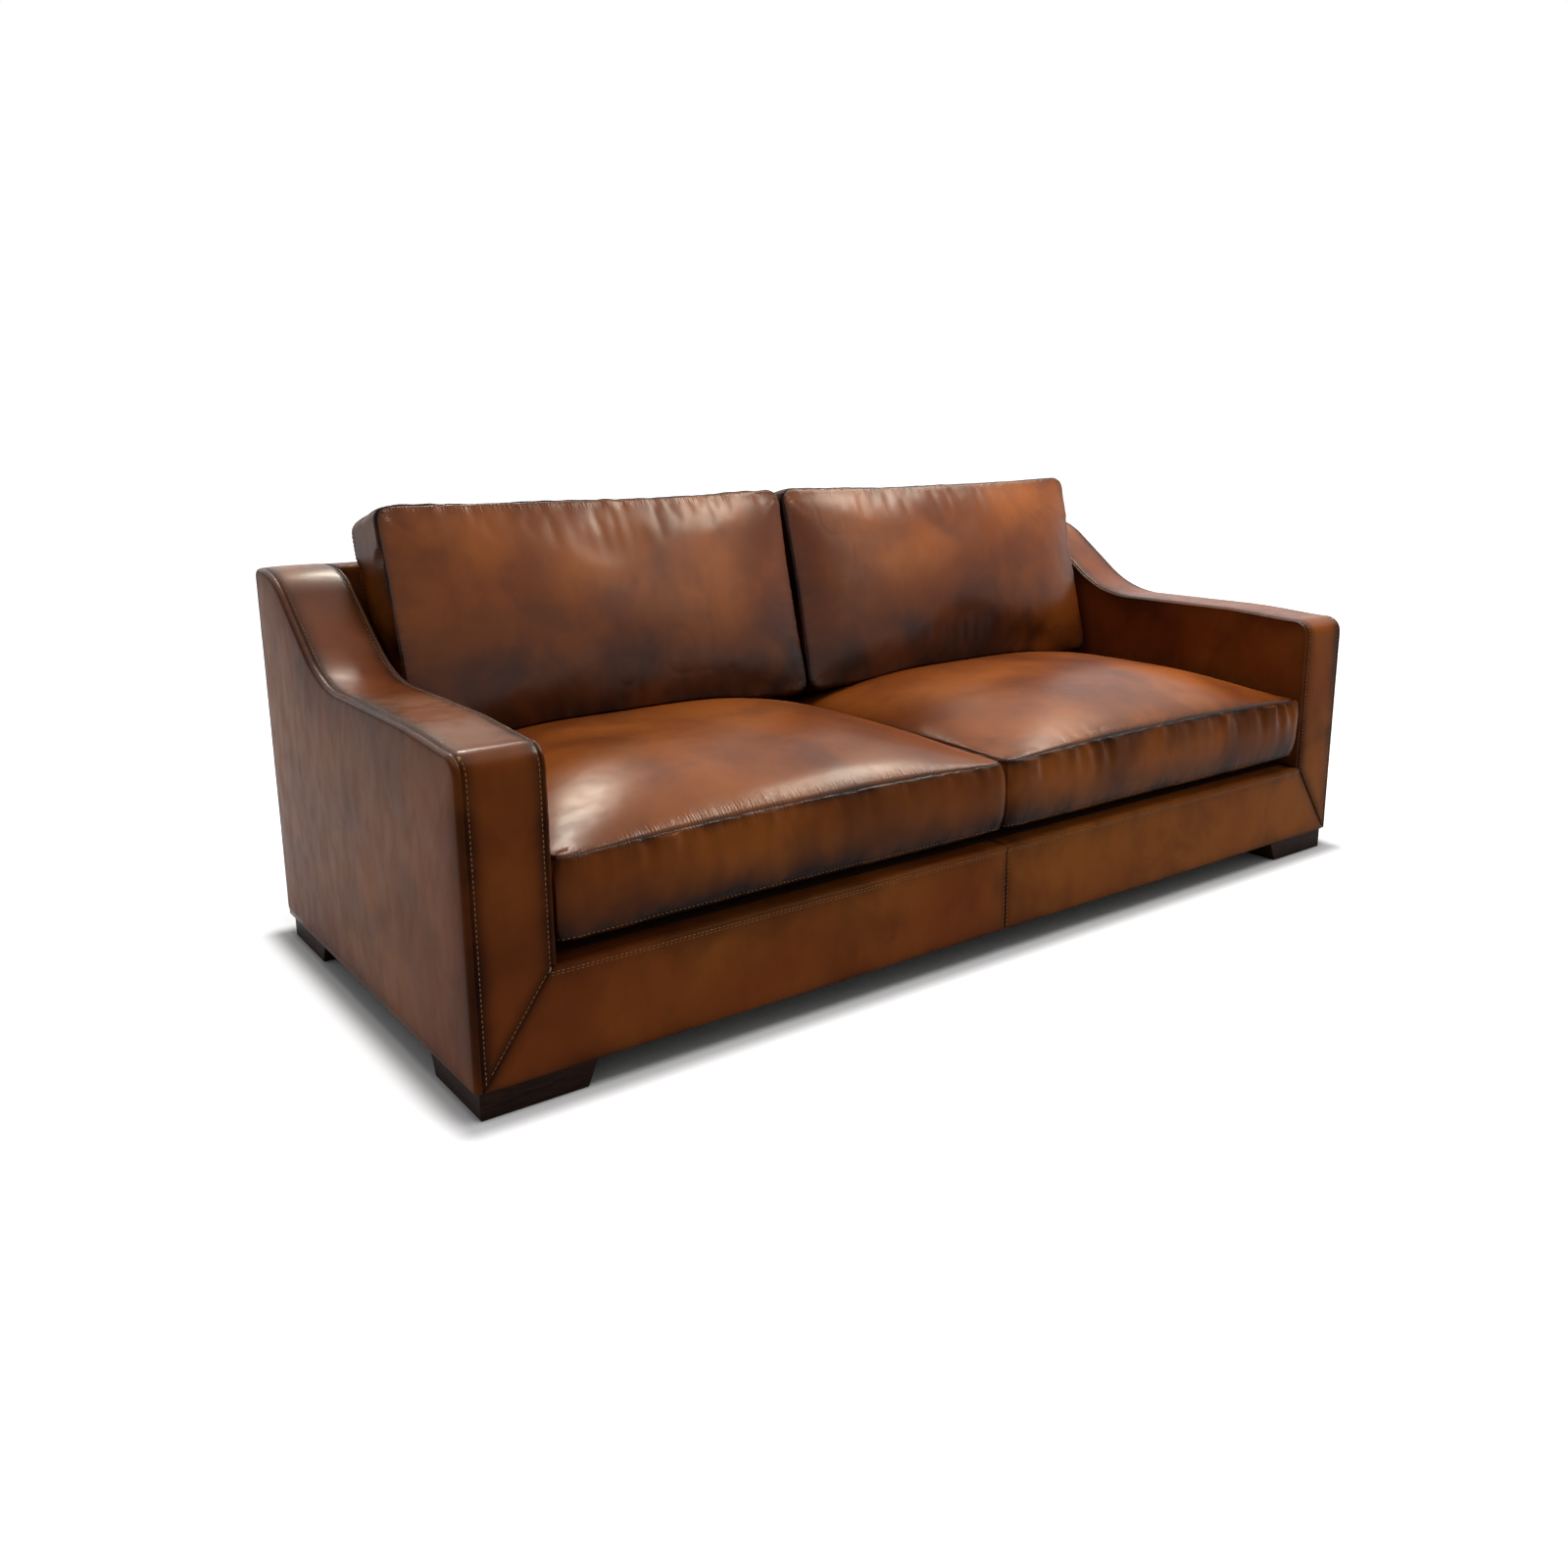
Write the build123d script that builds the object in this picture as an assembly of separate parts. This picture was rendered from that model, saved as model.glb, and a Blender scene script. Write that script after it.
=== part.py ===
from build123d import *
import os
from math import asin, atan2, cos, degrees, hypot, radians, sin, tan

os.makedirs("parts", exist_ok=True)

# A leather sofa with swooping arms, four loose cushions and low wooden block legs, in millimetres.
# +X runs along the width, the front faces -Y and +Z is up. The origin is on the floor, under the middle.
# Left is the -X side, as seen from the front.

# Outside sizes
overall_width = 2240.0
overall_depth = 980.0
leg_height = 50.0            # floor to the underside of the sofa
rail_top = 224.0             # floor to the top of the front rail and the deck
arm_width = 145.0
arm_front_height = 586.0
arm_rear_height = 771.0      # also the top of the fixed back
back_lean = 14.0             # degrees from upright
back_top_depth = 80.0        # fixed back, front to rear at its top

# Arm shape
swoop_front_flat = 530.0     # level stretch from the arm's front to where the swoop starts
swoop_rear_flat = 35.0       # level stretch at the rear
swoop_fullness = 0.9         # share of the swoop that is arc, the rest is straight
swoop_hollow_share = 0.58    # the hollow's part of both radii
arm_front_round = 20.0
arm_outer_round = 12.0
arm_inner_round = 7.0
outer_seam = 14.0            # seam to the arm's outer face
inner_seam = 8.0             # seam to the arm's inner face
back_top_round = 20.0

# Covers and padding
leather = 2.0
padding = 12.0
rail_lip = 45.0              # leather turned back over the front rail
deck_pad_height = 22.0
dust_cover_height = 1.0
fit = 0.3                    # clearance between soft pieces
seam_roll = 4.0              # cushion panels turn over the edge to the boxing's seam

# Wooden frame
rail_thickness = 27.0
board_thickness = 15.0
slat_thickness = 9.0
plank_thickness = 18.0
post_depth = 40.0
stile_depth = 45.0
upright_thickness = 25.0
top_rail_height = 50.0
cross_rail_drop = 45.0       # cross rails lie this far below the springs' rails

# Springs and straps
springs_per_seat = 6
wire_radius = 1.8
spring_pitch = 38.0
spring_bar = 20.0            # straight stretch between two bends
clip_wall = 1.5
clip_width = 14.0
clip_tail = 12.0
wire_play = 0.3
strap_width = 50.0
strap_thickness = 2.0
strap_tuck = 8.0             # strap below the top of the rear seat rail

# Seat cushions
seat_setback = 6.0
seat_side_gap = 6.0
seat_middle_gap = 4.0
seat_seam_low = 256.0        # height of the lower seam
seat_boxing = 136.0
seat_crown = 96.0
seat_corner = 28.0

# Back cushions
back_cushion_top = 895.0     # height of the front top seam
back_side_gap = 22.0
back_middle_gap = 4.0
back_boxing = 155.0
back_crown = 45.0
back_belly = 17.0
back_corner = 30.0
lift_gap = 0.5               # back cushion above the seat cushion
settling_steps = 8           # rounds in which the back cushion finds its place on the seat cushion

# Legs and their fasteners
leg_inset = 9.0
leg_foot = 185.0
leg_head = 207.0
bolt_radius = 4.0
bolt_in_leg = 30.0
bolt_above_plank = 8.0
bolt_spacing = 80.0
thread_play = 0.05
nut_wall = 1.2
nut_flange_radius = 11.0
nut_flange = 2.0
nut_clear = 4.0

# Planes worked out from the sizes above
half_width = overall_width / 2
front_y = -overall_depth / 2
rear_y = overall_depth / 2
frame_inset = leather + padding
frame_rear = rear_y - leather
arm_inner_x = half_width - arm_width
board_x = arm_inner_x + frame_inset
arm_frame_x = half_width - frame_inset
frame_bottom = leg_height + dust_cover_height
plank_top = frame_bottom + plank_thickness
clip_radius = wire_radius + wire_play + clip_wall
deck_bottom = rail_top - leather - deck_pad_height
seat_rail_top = deck_bottom - fit - 2 * clip_radius
spring_z = seat_rail_top + clip_radius
lean = radians(back_lean)
seat_seam_high = seat_seam_low + seat_boxing
seat_belly = seat_seam_low - rail_top - fit
front_rail_rear = front_y + frame_inset + rail_thickness


def face_y(z, inset=0.0):
    """Depth of the fixed back's leaning front at height z, or of a layer behind it."""
    return rear_y - back_top_depth - (arm_rear_height - z) * tan(lean) + inset / cos(lean)


rear_rail_y = face_y(seat_rail_top, frame_inset)
deck_rear = face_y(deck_bottom, frame_inset - strap_thickness) - fit


def block(x0, x1, y0, y1, z0, z1):
    """A box between two corners."""
    return Pos(x0, y0, z0) * Box(x1 - x0, y1 - y0, z1 - z0, align=(Align.MIN, Align.MIN, Align.MIN))


def prism_x(sketch, x0, x1):
    """A side profile, drawn as depth and height, carried from x0 to x1."""
    return extrude(Plane.YZ.offset(x0) * sketch, amount=x1 - x0)


def prism_y(points, y0, y1):
    """A front profile, given as width and height points, carried from y0 to y1."""
    face = make_face(Polyline(*[(x, y0, z) for x, z in points], close=True))
    return extrude(face, amount=y1 - y0, dir=(0, 1, 0))


def mirrored(solid):
    """The same piece on the other side of the sofa."""
    return mirror(solid, about=Plane.YZ)


def save(name, *solids):
    """Writes one node, which may be a group of separate solids."""
    shapes = [piece for solid in solids for piece in solid.solids()]
    export_step(Compound(children=shapes) if len(shapes) > 1 else shapes[0], f"parts/{name}.step")


def save_pair(name, right_solid):
    """Writes a right-hand piece and its mirror image."""
    save(f"right_{name}", right_solid)
    save(f"left_{name}", mirrored(right_solid))


# Arms

swoop_run = overall_depth - swoop_front_flat - swoop_rear_flat
swoop_rise = arm_rear_height - arm_front_height
swoop_radii = swoop_fullness * (swoop_run**2 + swoop_rise**2) / (2 * swoop_rise)
swoop_reach = hypot(swoop_run, swoop_radii - swoop_rise)
swoop_slope = asin(swoop_radii / swoop_reach) - atan2(swoop_radii - swoop_rise, swoop_run)


def arm_profile(inset, bottom):
    """Side view of an arm, a layer inset from the leather's outside."""
    hollow = swoop_hollow_share * swoop_radii + inset
    crest = (1 - swoop_hollow_share) * swoop_radii - inset
    front, low, high = front_y + inset, arm_front_height - inset, arm_rear_height - inset
    start = front_y + swoop_front_flat
    end = rear_y - swoop_rear_flat
    hollow_end = (start + hollow * sin(swoop_slope), low + hollow * (1 - cos(swoop_slope)))
    crest_start = (end - crest * sin(swoop_slope), high - crest * (1 - cos(swoop_slope)))
    turn = degrees(swoop_slope)
    with BuildSketch() as sketch:
        with BuildLine():
            Polyline((frame_rear, high), (frame_rear, bottom), (front, bottom), (front, low), (start, low))
            JernArc((start, low), (1, 0), hollow, turn)
            Line(hollow_end, crest_start)
            JernArc(crest_start, (cos(swoop_slope), sin(swoop_slope)), crest, -turn)
            Line((end, high), (frame_rear, high))
        make_face()
        if arm_front_round > inset:
            front_top = sketch.vertices().sort_by_distance((front, low))[0]
            fillet(front_top, arm_front_round - inset)
    return sketch.sketch


def arm_block(inset):
    """The right arm's outside, or a layer inside it. It is open below and behind."""
    solid = prism_x(arm_profile(inset, leg_height), arm_inner_x + inset, half_width - inset)
    for side, round_size in ((-1, arm_outer_round), (0, arm_inner_round)):
        if round_size > inset:
            edges = solid.faces().sort_by(Axis.X)[side].edges()
            rolled = [e for e in edges if e.center().Z > plank_top and e.center().Y < frame_rear - leather]
            solid = fillet(rolled, round_size - inset)
    return solid


def make_arms():
    outside = arm_block(0)
    under_leather = arm_block(leather)
    skin = outside - under_leather
    past = overall_depth
    boxing_x0, boxing_x1 = arm_inner_x + inner_seam, half_width - outer_seam
    mitre = [(boxing_x1, 0), (boxing_x1, leg_height), (boxing_x0, rail_top)]
    mitre += [(boxing_x0 - past, rail_top), (boxing_x0 - past, 0)]
    below_mitre = prism_y(mitre, front_y - leather, front_y + 2 * leather)
    save_pair("arm_outer_panel", skin & block(boxing_x1, half_width, -past, past, 0, past))
    save_pair("arm_boxing", (skin & block(boxing_x0, boxing_x1, -past, past, 0, past)) - below_mitre)
    save_pair("arm_inner_panel", skin & block(arm_inner_x, boxing_x0, -past, past, rail_top, past))

    pad = under_leather - prism_x(arm_profile(frame_inset, leg_height), board_x, arm_frame_x)
    save_pair("arm_padding", pad - block(0, board_x, -past, past, 0, rail_top))

    frame_side = arm_profile(frame_inset, plank_top)
    save_pair("arm_outer_board", prism_x(frame_side, arm_frame_x - board_thickness, arm_frame_x))
    save_pair("arm_inner_board", prism_x(frame_side, board_x, board_x + board_thickness))

    hollow_x0, hollow_x1 = board_x + board_thickness, arm_frame_x - board_thickness
    under_slat = prism_x(arm_profile(frame_inset + slat_thickness, plank_top), hollow_x0, hollow_x1)
    slat = prism_x(frame_side, hollow_x0, hollow_x1) - under_slat
    slat_foot = arm_front_height - frame_inset - slat_thickness
    save_pair("arm_top_slat", slat & block(0, half_width, -past, past, slat_foot, past))
    front_post = front_y + frame_inset + slat_thickness
    stile = front_y + swoop_front_flat
    posts = [
        block(hollow_x0, hollow_x1, front_post, front_post + post_depth, plank_top, past),
        block(hollow_x0, hollow_x1, stile, stile + stile_depth, plank_top, past),
        block(hollow_x0, hollow_x1, frame_rear - post_depth, frame_rear, plank_top, past),
    ]
    save_pair("arm_posts", *[Compound(children=[(post & under_slat).solid() for post in posts])])


# Base, springs and deck

spring_spacing = board_x / springs_per_seat
spring_places = [(i + 0.5) * spring_spacing for i in range(-springs_per_seat, springs_per_seat)]
front_bar_y = front_y + frame_inset + rail_thickness / 2
rear_bar_y = rear_rail_y + rail_thickness / 2


def make_base():
    pad_rear = front_y + frame_inset
    front_rail = block(-board_x, board_x, pad_rear, front_rail_rear, frame_bottom, seat_rail_top)
    save("base_front_rail", front_rail)
    rail_rear = rear_rail_y + rail_thickness
    save("base_rear_rail", block(-board_x, board_x, rear_rail_y, rail_rear, frame_bottom, seat_rail_top))
    side_x = board_x - rail_thickness
    side = block(side_x, board_x, front_rail_rear, rear_rail_y, frame_bottom, seat_rail_top)
    save_pair("base_side_rail", side)
    cross_top = seat_rail_top - cross_rail_drop
    half_rail = rail_thickness / 2
    middle = springs_per_seat // 2 * spring_spacing
    cross_rails = [
        block(x - half_rail, x + half_rail, front_rail_rear, rear_rail_y, frame_bottom, cross_top)
        for x in (-middle, 0, middle)
    ]
    save("base_cross_rails", *cross_rails)
    front_pad = block(-board_x, board_x, front_y + leather, pad_rear, leg_height, rail_top - leather)
    save("front_rail_padding", front_pad)
    save("deck_pad", block(-board_x, board_x, pad_rear, deck_rear, deck_bottom, rail_top - leather))
    save("deck_cover", block(-board_x, board_x, front_y + rail_lip, deck_rear, rail_top - leather, rail_top))


def make_springs():
    bends = round((rear_bar_y - front_bar_y) / spring_pitch)
    pitch = (rear_bar_y - front_bar_y) / bends
    half_bar = spring_bar / 2
    runs = []
    for i in range(bends + 1):
        y = front_bar_y + i * pitch
        runs.append(Pos(0, y, spring_z) * Rot(0, 90, 0) * Cylinder(wire_radius, spring_bar))
        if i < bends:
            side = 1 if i % 2 == 0 else -1
            section = Plane(origin=(side * half_bar, y, spring_z), z_dir=(side, 0, 0)) * Circle(wire_radius)
            pivot = Axis((side * half_bar, y + pitch / 2, spring_z), (0, 0, side))
            runs.append(revolve(section, axis=pivot, revolution_arc=180))
    spring = runs[0].fuse(*runs[1:])
    save("seat_springs", *[Pos(x, 0, 0) * spring for x in spring_places])

    ring = Circle(clip_radius)
    tail = Pos(0, -clip_radius) * Rectangle(clip_tail, clip_wall, align=(Align.MIN, Align.MIN))
    profile = ring + tail - Circle(clip_radius - clip_wall)
    clip = prism_x(profile, -clip_width / 2, clip_width / 2)
    rear_clips = [Pos(x, rear_bar_y, spring_z) * clip for x in spring_places]
    front_clips = [Pos(x, front_bar_y, spring_z) * Rot(0, 0, 180) * clip for x in spring_places]
    save("spring_clips", *(front_clips + rear_clips))


def make_front_covers():
    corner = half_width - outer_seam
    mitre_top = arm_inner_x + inner_seam
    outline = [(0, leg_height), (corner, leg_height), (mitre_top, rail_top), (0, rail_top)]
    sheet = prism_y(outline, front_y, front_y + leather)
    lip = block(0, mitre_top, front_y, front_y + rail_lip, rail_top - leather, rail_top)
    save_pair("front_rail_cover", sheet + lip)


# Fixed back

def back_section(inset, bottom):
    """Side view of the fixed back, a layer inset from the leather. It is open below and behind."""
    top = arm_rear_height - inset
    points = [(face_y(bottom, inset), bottom), (face_y(top, inset), top)]
    points += [(frame_rear, top), (frame_rear, bottom)]
    with BuildSketch() as sketch:
        with BuildLine():
            Polyline(*points, close=True)
        make_face()
        if back_top_round > inset:
            front_top = sketch.vertices().sort_by_distance(points[1])[0]
            fillet(front_top, back_top_round - inset)
    return sketch.sketch


def make_back():
    strap_inset = frame_inset - strap_thickness
    under_leather = prism_x(back_section(leather, rail_top), -arm_inner_x, arm_inner_x)
    save("back_inner_panel", prism_x(back_section(0, rail_top), -arm_inner_x, arm_inner_x) - under_leather)
    under_padding = prism_x(back_section(strap_inset, rail_top), -arm_inner_x, arm_inner_x)
    save("back_padding", under_leather - under_padding)

    rail_bottom = arm_rear_height - frame_inset - top_rail_height
    save("back_top_rail", prism_x(back_section(frame_inset, rail_bottom), -arm_inner_x, arm_inner_x))
    low_rail = block(-board_x, board_x, frame_rear - rail_thickness, frame_rear, frame_bottom, seat_rail_top)
    save("back_bottom_rail", low_rail)

    upright_front = rear_rail_y + rail_thickness
    outline = Plane.XY * make_face(Polyline(
        (upright_front, frame_bottom),
        (frame_rear - rail_thickness, frame_bottom),
        (frame_rear - rail_thickness, seat_rail_top),
        (frame_rear, seat_rail_top),
        (frame_rear, rail_bottom),
        (face_y(rail_bottom, frame_inset), rail_bottom),
        (upright_front, seat_rail_top + rail_thickness / tan(lean)),
        close=True,
    ))
    half_upright = upright_thickness / 2
    outer_place = arm_inner_x - half_upright
    inner_place = springs_per_seat // 2 * spring_spacing
    places = (-outer_place, -inner_place, inner_place, outer_place)
    save("back_uprights", *[prism_x(outline, x - half_upright, x + half_upright) for x in places])

    strap_foot = seat_rail_top - strap_tuck
    strap_head = rail_bottom + top_rail_height / 2
    strap_side = make_face(Polyline(
        (face_y(strap_foot, strap_inset), strap_foot),
        (face_y(strap_foot, frame_inset), strap_foot),
        (face_y(strap_head, frame_inset), strap_head),
        (face_y(strap_head, strap_inset), strap_head),
        close=True,
    ))
    strap_places = [i * spring_spacing for i in range(1 - springs_per_seat, springs_per_seat, 2)]
    straps = [prism_x(strap_side, x - strap_width / 2, x + strap_width / 2) for x in strap_places]
    save("back_straps", *straps)

    with BuildSketch() as panel:
        with Locations((0, leg_height)):
            Rectangle(overall_width, arm_rear_height - leg_height, align=(Align.CENTER, Align.MIN))
        fillet(panel.vertices().group_by(Axis.Y)[-1], arm_outer_round)
    save("back_outer_panel", extrude(Plane.XZ.offset(-rear_y) * panel.sketch, amount=leather))


# Loose cushions

def arched(x0, x1, low, high, belly, crown, inset):
    """A cushion's section along one direction, crowned above and below."""
    half, middle = (x1 - x0) / 2, (x0 + x1) / 2
    with BuildSketch() as sketch:
        with Locations((middle, (low + high) / 2)):
            Rectangle(2 * (half + seam_roll), 2 * (high - low + belly + crown))
        for seam, rise, side in ((high, crown, 1), (low, belly, -1)):
            radius = (half**2 + rise**2) / (2 * rise)
            with Locations((middle, seam + side * (rise - radius))):
                Circle(radius - inset, mode=Mode.INTERSECT)
    return sketch.sketch


def cushion_block(size, inset, corner):
    """A crowned box cushion, or a layer inside its cover."""
    x0, x1, y0, y1, low, high, belly, crown = size
    width_arch = arched(x0, x1, low, high, belly, crown, inset)
    across = extrude(Plane.XZ * width_arch, amount=overall_depth, both=True)
    along = prism_x(arched(y0, y1, low, high, belly, crown, inset), -overall_width, overall_width)
    middle = Pos((x0 + x1) / 2, (y0 + y1) / 2, low - belly - seam_roll)
    plan = RectangleRounded(x1 - x0 - 2 * inset, y1 - y0 - 2 * inset, corner - inset)
    return extrude(middle * plan, amount=high - low + belly + crown + 2 * seam_roll) & across & along


def cushion_pieces(size, corner):
    """Core, top, boxing and bottom of one cushion."""
    low, high = size[4:6]
    past = overall_width + overall_depth
    skin = cushion_block(size, 0, corner) - cushion_block(size, leather, corner)
    core = cushion_block(size, leather + fit, corner)
    top = skin & block(-past, past, -past, past, high - seam_roll, past)
    boxing = skin & block(-past, past, -past, past, low + seam_roll, high - seam_roll)
    bottom = skin & block(-past, past, -past, past, -past, low + seam_roll)
    return core, top, boxing, bottom


def seat_height(y):
    """Height of a seat cushion's middle at depth y."""
    half = (seat_rear - seat_front) / 2
    radius = (half**2 + seat_crown**2) / (2 * seat_crown)
    return seat_seam_high + seat_crown - radius + (radius**2 - (y - seat_front - half)**2)**0.5


seat_front = front_y + seat_setback
seat_rear = face_y(seat_seam_low) - fit


def make_seat_cushions():
    x0, x1 = seat_middle_gap / 2, arm_inner_x - seat_side_gap
    size = (x0, x1, seat_front, seat_rear, seat_seam_low, seat_seam_high, seat_belly, seat_crown)
    names = ("core", "top_panel", "boxing", "bottom_panel")
    for name, piece in zip(names, cushion_pieces(size, seat_corner)):
        save_pair(f"seat_cushion_{name}", piece)


def make_back_cushions():
    seam_front = back_belly + fit + back_boxing
    foot = seat_seam_high
    for _ in range(settling_steps):
        foot_y = face_y(foot) - seam_front / cos(lean)
        foot = seat_height(foot_y) + lift_gap
    low_edge = (foot - rail_top - seam_front * sin(lean)) / cos(lean)
    high_edge = (back_cushion_top - rail_top - seam_front * sin(lean)) / cos(lean)
    x0, x1 = back_middle_gap / 2, arm_inner_x - back_side_gap
    size = (x0, x1, low_edge, high_edge, back_belly + fit, seam_front, back_belly, back_crown)
    leaning = Plane(origin=(0, face_y(rail_top), rail_top), x_dir=(1, 0, 0), z_dir=(0, -cos(lean), sin(lean)))
    names = ("core", "front_panel", "boxing", "rear_panel")
    for name, piece in zip(names, cushion_pieces(size, back_corner)):
        save_pair(f"back_cushion_{name}", leaning.location * piece)


# Legs and fasteners

bolt_x = (board_x + arm_frame_x) / 2
nut_radius = bolt_radius + thread_play + nut_wall
post_end = frame_inset + slat_thickness + post_depth
first_bolt = post_end + nut_flange_radius + nut_clear
bolt_depths = (first_bolt, first_bolt + bolt_spacing)
bolt_places = [
    (side * bolt_x, end * (overall_depth / 2 - depth))
    for side in (-1, 1)
    for end in (-1, 1)
    for depth in bolt_depths
]


def drill(radius, z0, z1):
    """All leg bolt holes of one radius, as one tool."""
    hole = Cylinder(radius, z1 - z0, align=(Align.CENTER, Align.CENTER, Align.MIN))
    return [Pos(x, y, z0) * hole for x, y in bolt_places]


def make_legs():
    bolt_foot = leg_height - bolt_in_leg
    for side, side_name in ((-1, "left"), (1, "right")):
        for end, end_name in ((-1, "front"), (1, "rear")):
            outer_x = side * (half_width - leg_inset)
            outer_y = end * (overall_depth / 2 - leg_inset)
            foot_place = Pos(outer_x - side * leg_foot / 2, outer_y - end * leg_foot / 2, 0)
            head_place = Pos(outer_x - side * leg_head / 2, outer_y - end * leg_head / 2, leg_height)
            foot, head = Rectangle(leg_foot, leg_foot), Rectangle(leg_head, leg_head)
            leg = loft([foot_place * foot, head_place * head])
            for hole in drill(bolt_radius + thread_play, bolt_foot, leg_height + bolt_radius):
                leg -= hole
            save(f"{end_name}_{side_name}_leg", leg)

    bolt_head = plank_top + bolt_above_plank
    save("leg_bolts", *drill(bolt_radius, bolt_foot, bolt_head))
    nuts = [barrel + flange - bore for barrel, flange, bore in zip(
        drill(nut_radius, frame_bottom, plank_top),
        drill(nut_flange_radius, plank_top, plank_top + nut_flange),
        drill(bolt_radius + thread_play, frame_bottom, plank_top + nut_flange),
    )]
    save("leg_tee_nuts", *nuts)
    plank = block(board_x, arm_frame_x, front_y + frame_inset, frame_rear, frame_bottom, plank_top)
    for hole in drill(nut_radius + thread_play, frame_bottom, plank_top):
        plank -= hole
    save_pair("arm_base_plank", plank)
    cover = block(-arm_frame_x, arm_frame_x, front_y + frame_inset, frame_rear, leg_height, frame_bottom)
    for hole in drill(nut_radius, leg_height, frame_bottom):
        cover -= hole
    save("dust_cover", cover)


make_arms()
make_base()
make_springs()
make_front_covers()
make_back()
make_seat_cushions()
make_back_cushions()
make_legs()
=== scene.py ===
import math

import bmesh
import bpy
import numpy as np
from mathutils import Matrix, Vector
from mathutils.bvhtree import BVHTree


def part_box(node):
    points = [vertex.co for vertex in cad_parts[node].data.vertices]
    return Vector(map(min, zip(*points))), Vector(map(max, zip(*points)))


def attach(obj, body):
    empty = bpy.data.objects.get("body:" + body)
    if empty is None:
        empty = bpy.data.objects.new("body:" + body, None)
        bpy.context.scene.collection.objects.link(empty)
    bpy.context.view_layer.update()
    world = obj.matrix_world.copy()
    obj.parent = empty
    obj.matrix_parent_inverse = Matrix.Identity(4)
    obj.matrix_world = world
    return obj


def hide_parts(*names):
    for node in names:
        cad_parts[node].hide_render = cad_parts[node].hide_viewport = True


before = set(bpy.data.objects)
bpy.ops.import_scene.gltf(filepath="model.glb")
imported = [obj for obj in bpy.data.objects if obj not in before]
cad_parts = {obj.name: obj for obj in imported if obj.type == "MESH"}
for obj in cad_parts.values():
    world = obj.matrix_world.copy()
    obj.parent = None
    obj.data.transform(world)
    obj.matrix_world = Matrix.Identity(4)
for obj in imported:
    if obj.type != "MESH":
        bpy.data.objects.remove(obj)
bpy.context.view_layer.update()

scene = bpy.context.scene
scene.view_settings.view_transform = "Standard"

# Camera, at the photograph's viewing angle
cameraSet = {
    "place": (-1.793, -2.224, 1.025),
    "yaw": 35.875,      # degrees to the right of straight ahead
    "pitch": 12.813,    # degrees down
    "roll": -0.613,
    "lens": 29.976,
    "shiftY": -0.0358,
}


def makeCamera():
    yaw, pitch, roll = (math.radians(cameraSet[key]) for key in ("yaw", "pitch", "roll"))
    ahead = Vector((math.sin(yaw) * math.cos(pitch), math.cos(yaw) * math.cos(pitch), -math.sin(pitch)))
    level = Vector((math.cos(yaw), -math.sin(yaw), 0))
    rise = level.cross(ahead)
    right = math.cos(roll) * level + math.sin(roll) * rise
    top = math.cos(roll) * rise - math.sin(roll) * level
    turn = Matrix((right, top, -ahead)).transposed().to_4x4()
    data = bpy.data.cameras.new("photoCamera")
    data.lens = cameraSet["lens"]
    data.shift_y = cameraSet["shiftY"]
    camera = bpy.data.objects.new("photoCamera", data)
    camera.matrix_world = Matrix.Translation(cameraSet["place"]) @ turn
    scene.collection.objects.link(camera)
    scene.camera = camera


makeCamera()
print("camera set")


# Small helpers for numbers and meshes

def smoothStep(low, high, value):
    share = np.clip((value - low) / (high - low), 0, 1)
    return share * share * (3 - 2 * share)


def fade(distance, reach):
    return np.exp(-distance / reach)


def ridge(distance, width):
    return np.exp(-(distance / width) ** 2)


def softNoise(points, scale, seed=0):
    # smooth noise from -1 to 1, the same on every run
    place = np.asarray(points, float) * scale + 17.31 * (seed + 1)
    cell = np.floor(place)
    part = place - cell
    part = part * part * (3 - 2 * part)
    total = np.zeros(len(place))
    for corner in range(8):
        bits = np.array([(corner >> axis) & 1 for axis in range(3)])
        hashed = np.sin((cell + bits) @ np.array([127.1, 311.7, 74.7]) + 53.7 * seed) * 43758.5453
        share = np.prod(np.where(bits == 1, part, 1 - part), axis=1)
        total += share * (2 * (hashed - np.floor(hashed)) - 1)
    return total


def lineNoise(along, scale, seed=0):
    points = np.zeros((len(along), 3))
    points[:, 0] = along
    return softNoise(points, scale, seed)


def gridFaces(rows, columns, flip=False):
    first = (np.arange(rows - 1)[:, None] * columns + np.arange(columns - 1)[None, :]).ravel()
    quads = np.stack([first, first + 1, first + columns + 1, first + columns], axis=1)
    return quads[:, ::-1] if flip else quads


def gridNormals(grid):
    # outward normals of a grid of points, rows first
    down = np.gradient(grid, axis=0)
    across = np.gradient(grid, axis=1)
    normal = np.cross(across, down)
    return normal / np.maximum(np.linalg.norm(normal, axis=2, keepdims=True), 1e-9)


def nearEnds(length, step, fine):
    # places along a length, close together at both ends
    ends = [end for end in fine if end < length / 2]
    inner = max(2, round((length - 2 * ends[-1]) / step))
    middle = list(np.linspace(ends[-1], length - ends[-1], inner + 1))
    return np.array(ends[:-1] + middle + [length - end for end in reversed(ends[:-1])])


def addAttribute(mesh, name, values):
    layer = mesh.attributes.new(name, "FLOAT", "POINT")
    layer.data.foreach_set("value", np.asarray(values, np.float32))


def readAttribute(mesh, name):
    values = np.zeros(len(mesh.vertices), np.float32)
    mesh.attributes[name].data.foreach_get("value", values)
    return values.astype(float)


def readPoints(mesh):
    points = np.zeros(3 * len(mesh.vertices), np.float32)
    mesh.vertices.foreach_get("co", points)
    return points.reshape(-1, 3).astype(float)


def writePoints(mesh, points):
    mesh.vertices.foreach_set("co", np.asarray(points, np.float32).ravel())
    mesh.update()


def readNormals(mesh):
    normals = np.zeros(3 * len(mesh.vertices), np.float32)
    mesh.vertex_normals.foreach_get("vector", normals)
    return normals.reshape(-1, 3).astype(float)


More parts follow.
